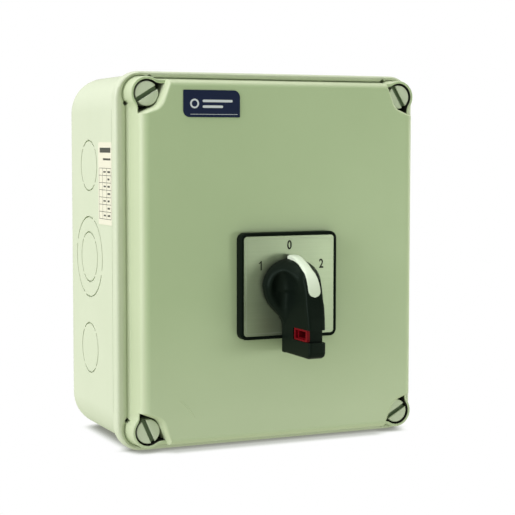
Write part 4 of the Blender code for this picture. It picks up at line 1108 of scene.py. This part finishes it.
# ---- red slide in the tail
def build_slide():
    y0, y1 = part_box("padlock_slide")[1][1] / MM, -112.6
    body = prism("red_slide", [(y0, AZ - 24.4), (y1, AZ - 24.4), (y1, AZ - 17.2), (y0, AZ - 17.2)],
                 AX - 2.4, AX + 2.3, VIS, "red", axis="X")
    cheek = prism("c", [(-101.7, AZ - 22.75), (-114.2, AZ - 22.75), (-114.2, AZ - 17.55), (-101.7, AZ - 17.55)],
                  AX - 3.75, AX - 2.3, AUX, axis="X")
    boolean(body, cheek, "UNION")
    # the shackle's way through: deep window with a step in it
    hole = prism("c", [(-104.0, AZ - 21.6), (-111.4, AZ - 21.6), (-111.4, AZ - 18.7), (-104.0, AZ - 18.7)],
                 AX - 9.0, AX + 1.4, AUX, axis="X")
    dish = prism("c", [(-102.9, AZ - 22.0), (-112.9, AZ - 22.0), (-112.9, AZ - 18.3), (-102.9, AZ - 18.3)],
                 AX - 9.0, AX - 2.5, AUX, axis="X")
    boolean(body, dish)
    boolean(body, hole)
    m = body.modifiers.new("edge", "BEVEL")
    m.width = 0.18 * MM
    m.segments = 2
    m.limit_method = "ANGLE"
    bpy.context.view_layer.update()
    me = bpy.data.meshes.new_from_object(body.evaluated_get(bpy.context.evaluated_depsgraph_get()))
    body.modifiers.clear()
    body.data = me
    tidy(body, 30.0)
    place(body, "padlock_slide", "red_plastic", "padlock_slide")


build_slide()


# ================================================================ badge and label
def slab(name, outline, y0, y1, mat, r=0.12):
    """Thin printed plate with a softened front edge; outline(o) gives rings."""
    rings = [(outline(0.0), y0), (outline(0.0), y1 + r), (outline(-r * 0.3), y1 + r * 0.3), (outline(-r), y1)]
    o = loft(name, rings, mat=mat)
    tidy(o, 35.0)
    return o


def build_badge():
    lo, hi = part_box("name_badge")
    x0, x1, z0, z1 = lo[0] / MM, hi[0] / MM, lo[2] / MM, hi[2] / MM
    yf = PANEL_Y - 0.45

    def out(o):
        return arc(x0 + 3.0, z0 + 3.0, 3.0 + o, 180, 270, 10) + arc(x1 - 0.4, z0 + 0.4, 0.4 + o, 270, 360, 4) + \
            arc(x1 - 3.0, z1 - 3.0, 3.0 + o, 0, 90, 10) + arc(x0 + 0.4, z1 - 0.4, 0.4 + o, 90, 180, 4)
    place(slab("cover_badge", out, PANEL_Y - 0.02, yf, "navy"), "cover", "navy_badge", "name_badge")
    # plain generic print: a ring, two bars and a fine rule
    y0, y1 = yf - 0.004, yf - 0.03
    cz = (z0 + z1) / 2 + 0.3

    def bar(name, bx0, bx1, bz, h):
        pts = arc(bx0 + h, bz, h, 90, 270, 8) + arc(bx1 - h, bz, h, -90, 90, 8)
        o = prism(name, pts, y0, y1, VIS, "foil_white")
        place(o, "cover", "navy_badge")
    bar("badge_bar_1", x0 + 9.0, x1 - 3.6, cz + 0.9, 0.55)
    bar("badge_bar_2", x0 + 9.0, x1 - 8.2, cz - 1.6, 0.55)
    bar("badge_rule", x0 + 3.2, x1 - 1.2, z0 + 1.3, 0.09)
    bm = bmesh.new()
    o_, i_ = circle(x0 + 5.2, cz - 0.3, 2.1, 40), circle(x0 + 5.2, cz - 0.3, 1.35, 40)
    vs = [[bm.verts.new((x * MM, y * MM, z * MM)) for x, z in pts] for pts, y in ((o_, y0), (o_, y1), (i_, y1), (i_, y0))]
    for a, c in ((0, 1), (1, 2), (2, 3), (3, 0)):
        for i in range(40):
            j = (i + 1) % 40
            bm.faces.new((vs[a][i], vs[a][j], vs[c][j], vs[c][i]))
    bmesh.ops.recalc_face_normals(bm, faces=bm.faces)
    place(obj_from_bm("badge_ring", bm, VIS, "foil_white"), "cover", "navy_badge")


def build_label():
    lo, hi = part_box("rating_label")
    y0, y1, z0, z1 = lo[1] / MM, hi[1] / MM, lo[2] / MM, hi[2] / MM
    cy, cz, hy, hz = (y0 + y1) / 2, (z0 + z1) / 2, (y1 - y0) / 2, (z1 - z0) / 2
    x = -BODY_HX
    rings = [(rrect(hy, hz, 0.9, 6, cy, cz), x + 0.30), (rrect(hy, hz, 0.9, 6, cy, cz), x - 0.10),
             (rrect(hy - 0.05, hz - 0.05, 0.85, 6, cy, cz), x - 0.14)]
    o = loft("side_label", rings, mat="paper", axis="X")
    tidy(o, 35.0)
    place(o, "enclosure", "paper_label", "rating_label")
    marks = []

    def rect(a0, a1, b0, b1):
        marks.append(prism("m", [(a0, b0), (a1, b0), (a1, b1), (a0, b1)], x - 0.145, x - 0.165, AUX, axis="X"))
    t = 0.11
    for k in range(8):                       # ruled table
        zz = z0 + 2.6 + k * 3.25
        rect(y0 + 1.2, y1 - 1.2, zz - t, zz + t)
    zt = z0 + 2.6 + 7 * 3.25
    for yy in (y0 + 1.2, y0 + 7.0, y0 + 12.6, y1 - 1.2):
        rect(yy - t, yy + t, z0 + 2.6, zt)
    for k in range(7):                       # filled cells stand for print
        zz = z0 + 2.6 + k * 3.25 + 1.6
        rect(y0 + 2.4 + (k % 3) * 0.4, y0 + 5.9, zz - 0.42, zz + 0.42)
        if k % 2 == 0:
            rect(y0 + 8.2, y0 + 11.2 + (k % 4) * 0.2, zz - 0.36, zz + 0.36)
    rect(y0 + 1.8, y1 - 2.2, z1 - 4.6, z1 - 2.4)
    rect(y0 + 1.8, y1 - 6.6, z1 - 8.0, z1 - 7.1)
    m = join_meshes("label_print", marks, VIS)
    m.data.materials.append(MAT["ink_grey"])
    place(m, "enclosure", "paper_label")


build_badge()
build_label()


# moulded turn mark by the bottom left screw
def build_mark():
    cx, cz, r = -60.2, -76.6, 18.6
    path = arc(cx, cz, r, 22.0, 60.0, 40)
    bm = bmesh.new()
    loops = []
    for i, (x, z) in enumerate(path):
        a = math.radians(22.0 + 38.0 * i / 40)
        taper = min(1.0, i / 4 + 0.1, (40 - i) / 4 + 0.1)
        ring = []
        for k in range(8):
            t = 2 * math.pi * k / 8
            rad = 0.26 * taper * math.cos(t)
            ring.append(bm.verts.new(((x + rad * math.cos(a)) * MM,
                                      (PANEL_Y + 0.02 - 0.14 * taper * math.sin(t)) * MM,
                                      (z + rad * math.sin(a)) * MM)))
        loops.append(ring)
    for a, b in zip(loops, loops[1:]):
        for i in range(8):
            bm.faces.new((a[i], a[(i + 1) % 8], b[(i + 1) % 8], b[i]))
    bm.faces.new(loops[0])
    bm.faces.new(loops[-1])
    bmesh.ops.recalc_face_normals(bm, faces=bm.faces)
    o = obj_from_bm("turn_mark", bm, VIS, "cover")
    o.data.shade_smooth()
    place(o, "cover", "cover_plastic")


build_mark()

# ================================================================ carried-over parts
CARRY = {
    "rubber": ("cover_gasket", "escutcheon_gasket", "shaft_seal"),
    "steel": ("din_rail", "rail_screw_left", "rail_screw_right", "earth_terminal_screw", "tie_bolt_left",
              "tie_bolt_right", "front_screw_1", "front_screw_2", "handle_clip", "detent_spring_left",
              "detent_spring_right"),
    "steel_y": ("drive_shaft",),
    "brass": ("earth_terminal_bar",),
    "deck": ("rail_foot", "pole_deck_1", "pole_deck_2", "pole_deck_3", "detent_housing"),
    "rotor": ("detent_star", "rotor_1", "rotor_2", "rotor_3"),
    "copper": ("contact_blade_1", "contact_blade_2", "contact_blade_3"),
}
for name, o in NODES.items():
    mat = None
    for m, names in CARRY.items():
        if name in names:
            mat = m
    if name.startswith("contact_common") or name.startswith("contact_supply"):
        mat = "brass"
    if name.startswith("terminal_screw"):
        mat = "steel"
    if mat:
        for s in o.material_slots:
            s.material = MAT[mat]

# ================================================================ stage, light, camera
def build_stage():
    z = B_LO[2]
    bm = bmesh.new()
    a, b, c, d = (bm.verts.new((x, y, z)) for x, y in ((-4.0, -12.0), (12.0, -12.0), (12.0, 4.0), (-4.0, 4.0)))
    bm.faces.new((a, b, c))                 # the seam runs well clear of the object
    bm.faces.new((a, c, d))
    floor = obj_from_bm("studio_floor", bm, AUX)
    floor.hide_render = False
    floor.display_type = "TEXTURED"
    # a glowing sweep in place of lit paper: its only darkening is a painted contact shadow from ambient occlusion;
    # to other rays it glows dimmer and yellow-green, painted bounce light onto the box
    g = Nodes("studio_floor_paint")
    ao = g.n("ShaderNodeAmbientOcclusion", samples=16)
    ao.inputs["Distance"].default_value = 0.0058
    shade = g.ramp(ao.outputs["AO"], [(0.20, (0.26, 0.27, 0.23)), (0.50, (0.68, 0.70, 0.66)),
                                      (0.72, (0.95, 0.96, 0.94)), (0.90, (1.0, 1.0, 1.0))])
    em = g.n("ShaderNodeEmission")
    g.link(shade, em.inputs["Color"])
    em.inputs["Strength"].default_value = 1.0
    # painted bounce light: the floor glows onto the box, darkened by the painted contact shadow
    soft = g.n("ShaderNodeEmission")
    g.link(g.mix(0.35, (0.95, 1.0, 0.80), shade, "MULTIPLY"), soft.inputs["Color"])
    soft.inputs["Strength"].default_value = 0.80
    lp = g.n("ShaderNodeLightPath")
    mx = g.n("ShaderNodeMixShader")
    g.link(lp.outputs["Is Camera Ray"], mx.inputs[0])
    g.link(soft.outputs[0], mx.inputs[1])
    g.link(em.outputs[0], mx.inputs[2])
    out = [n for n in g.t.nodes if n.type == "OUTPUT_MATERIAL"][0]
    g.link(mx.outputs[0], out.inputs["Surface"])
    floor.data.materials.append(g.m)

    def area(name, loc, target, size, power, color=(1, 1, 1)):
        l = bpy.data.lights.new(name, "AREA")
        l.shape = "RECTANGLE"
        l.size, l.size_y = size
        l.energy = power
        l.color = color
        o = bpy.data.objects.new(name, l)
        bpy.context.scene.collection.objects.link(o)
        o.location = loc
        o.rotation_euler = (Vector(target) - Vector(loc)).to_track_quat("-Z", "Y").to_euler()
        return o
    area("left_softbox", (-1.5, -0.24, 0.45), (0, -0.04, 0.0), (0.7, 1.1), 17.0, (1.0, 0.97, 1.02))
    area("top_soft", (0.0, -0.02, 1.5), (0, -0.04, 0.0), (1.2, 0.7), 13.0, (1.0, 1.0, 0.93))
    area("low_right_fill", (0.34, -0.50, -0.07), (0.03, -0.08, -0.05), (0.16, 0.16), 0.82, (0.99, 1.0, 0.92))
    area("right_rim", (1.3, -0.045, 0.10), (0.05, -0.06, 0.0), (0.10, 0.9), 7.0, (1.0, 1.0, 0.93))
    w = bpy.data.worlds.new("studio")
    bpy.context.scene.world = w
    w.use_nodes = True
    t = w.node_tree
    bg = t.nodes["Background"]
    bg.inputs["Color"].default_value = (1.0, 1.0, 1.0, 1.0)
    bg.inputs["Strength"].default_value = 1.0
    dim = t.nodes.new("ShaderNodeBackground")
    tc = t.nodes.new("ShaderNodeTexCoord")
    dot = t.nodes.new("ShaderNodeVectorMath")
    dot.operation = "DOT_PRODUCT"
    dot.inputs[1].default_value = Vector((-0.72, 0.10, 0.68)).normalized()
    t.links.new(tc.outputs["Generated"], dot.inputs[0])
    mr = t.nodes.new("ShaderNodeMapRange")
    mr.interpolation_type = "SMOOTHSTEP"
    mr.inputs["From Min"].default_value = -0.7
    mr.inputs["From Max"].default_value = 1.0
    mr.inputs["To Min"].default_value = 0.10
    mr.inputs["To Max"].default_value = 0.75
    t.links.new(dot.outputs["Value"], mr.inputs["Value"])
    t.links.new(mr.outputs["Result"], dim.inputs["Strength"])
    tint = t.nodes.new("ShaderNodeMix")
    tint.data_type = "RGBA"
    tint.inputs[6].default_value = (0.88, 1.0, 0.72, 1.0)
    tint.inputs[7].default_value = (1.0, 0.97, 1.0, 1.0)
    m2 = t.nodes.new("ShaderNodeMapRange")
    m2.inputs["From Min"].default_value = -0.3
    m2.inputs["From Max"].default_value = 0.8
    t.links.new(dot.outputs["Value"], m2.inputs["Value"])
    t.links.new(m2.outputs["Result"], tint.inputs["Factor"])
    t.links.new(tint.outputs[2], dim.inputs["Color"])
    lp = t.nodes.new("ShaderNodeLightPath")
    mx = t.nodes.new("ShaderNodeMixShader")
    t.links.new(lp.outputs["Is Camera Ray"], mx.inputs[0])
    t.links.new(dim.outputs[0], mx.inputs[1])
    t.links.new(bg.outputs[0], mx.inputs[2])
    t.links.new(mx.outputs[0], [n for n in t.nodes if n.type == "OUTPUT_WORLD"][0].inputs["Surface"])
    bpy.context.scene.view_settings.view_transform = "Standard"
    bpy.context.scene.view_settings.look = "None"


build_stage()
cam = bpy.data.cameras.new("camera")
cam.sensor_width = 36.0
cam.lens = 1495.2 / 515.0 * 36.0
cam.clip_end = 30.0
co = bpy.data.objects.new("camera", cam)
bpy.context.scene.collection.objects.link(co)
fw = Vector((0.41765, 0.90532, -0.07718)).normalized()
right = fw.cross(Vector((0, 0, 1))).normalized()
up = right.cross(fw).normalized()
roll = math.radians(0.05)
right, up = right * math.cos(roll) + up * math.sin(roll), up * math.cos(roll) - right * math.sin(roll)
m = Matrix.Identity(4)
for i in range(3):
    m[i][0], m[i][1], m[i][2] = right[i], up[i], -fw[i]
    m[i][3] = (-0.29312, -0.69267, 0.05350)[i]
co.matrix_world = m
bpy.context.scene.camera = co
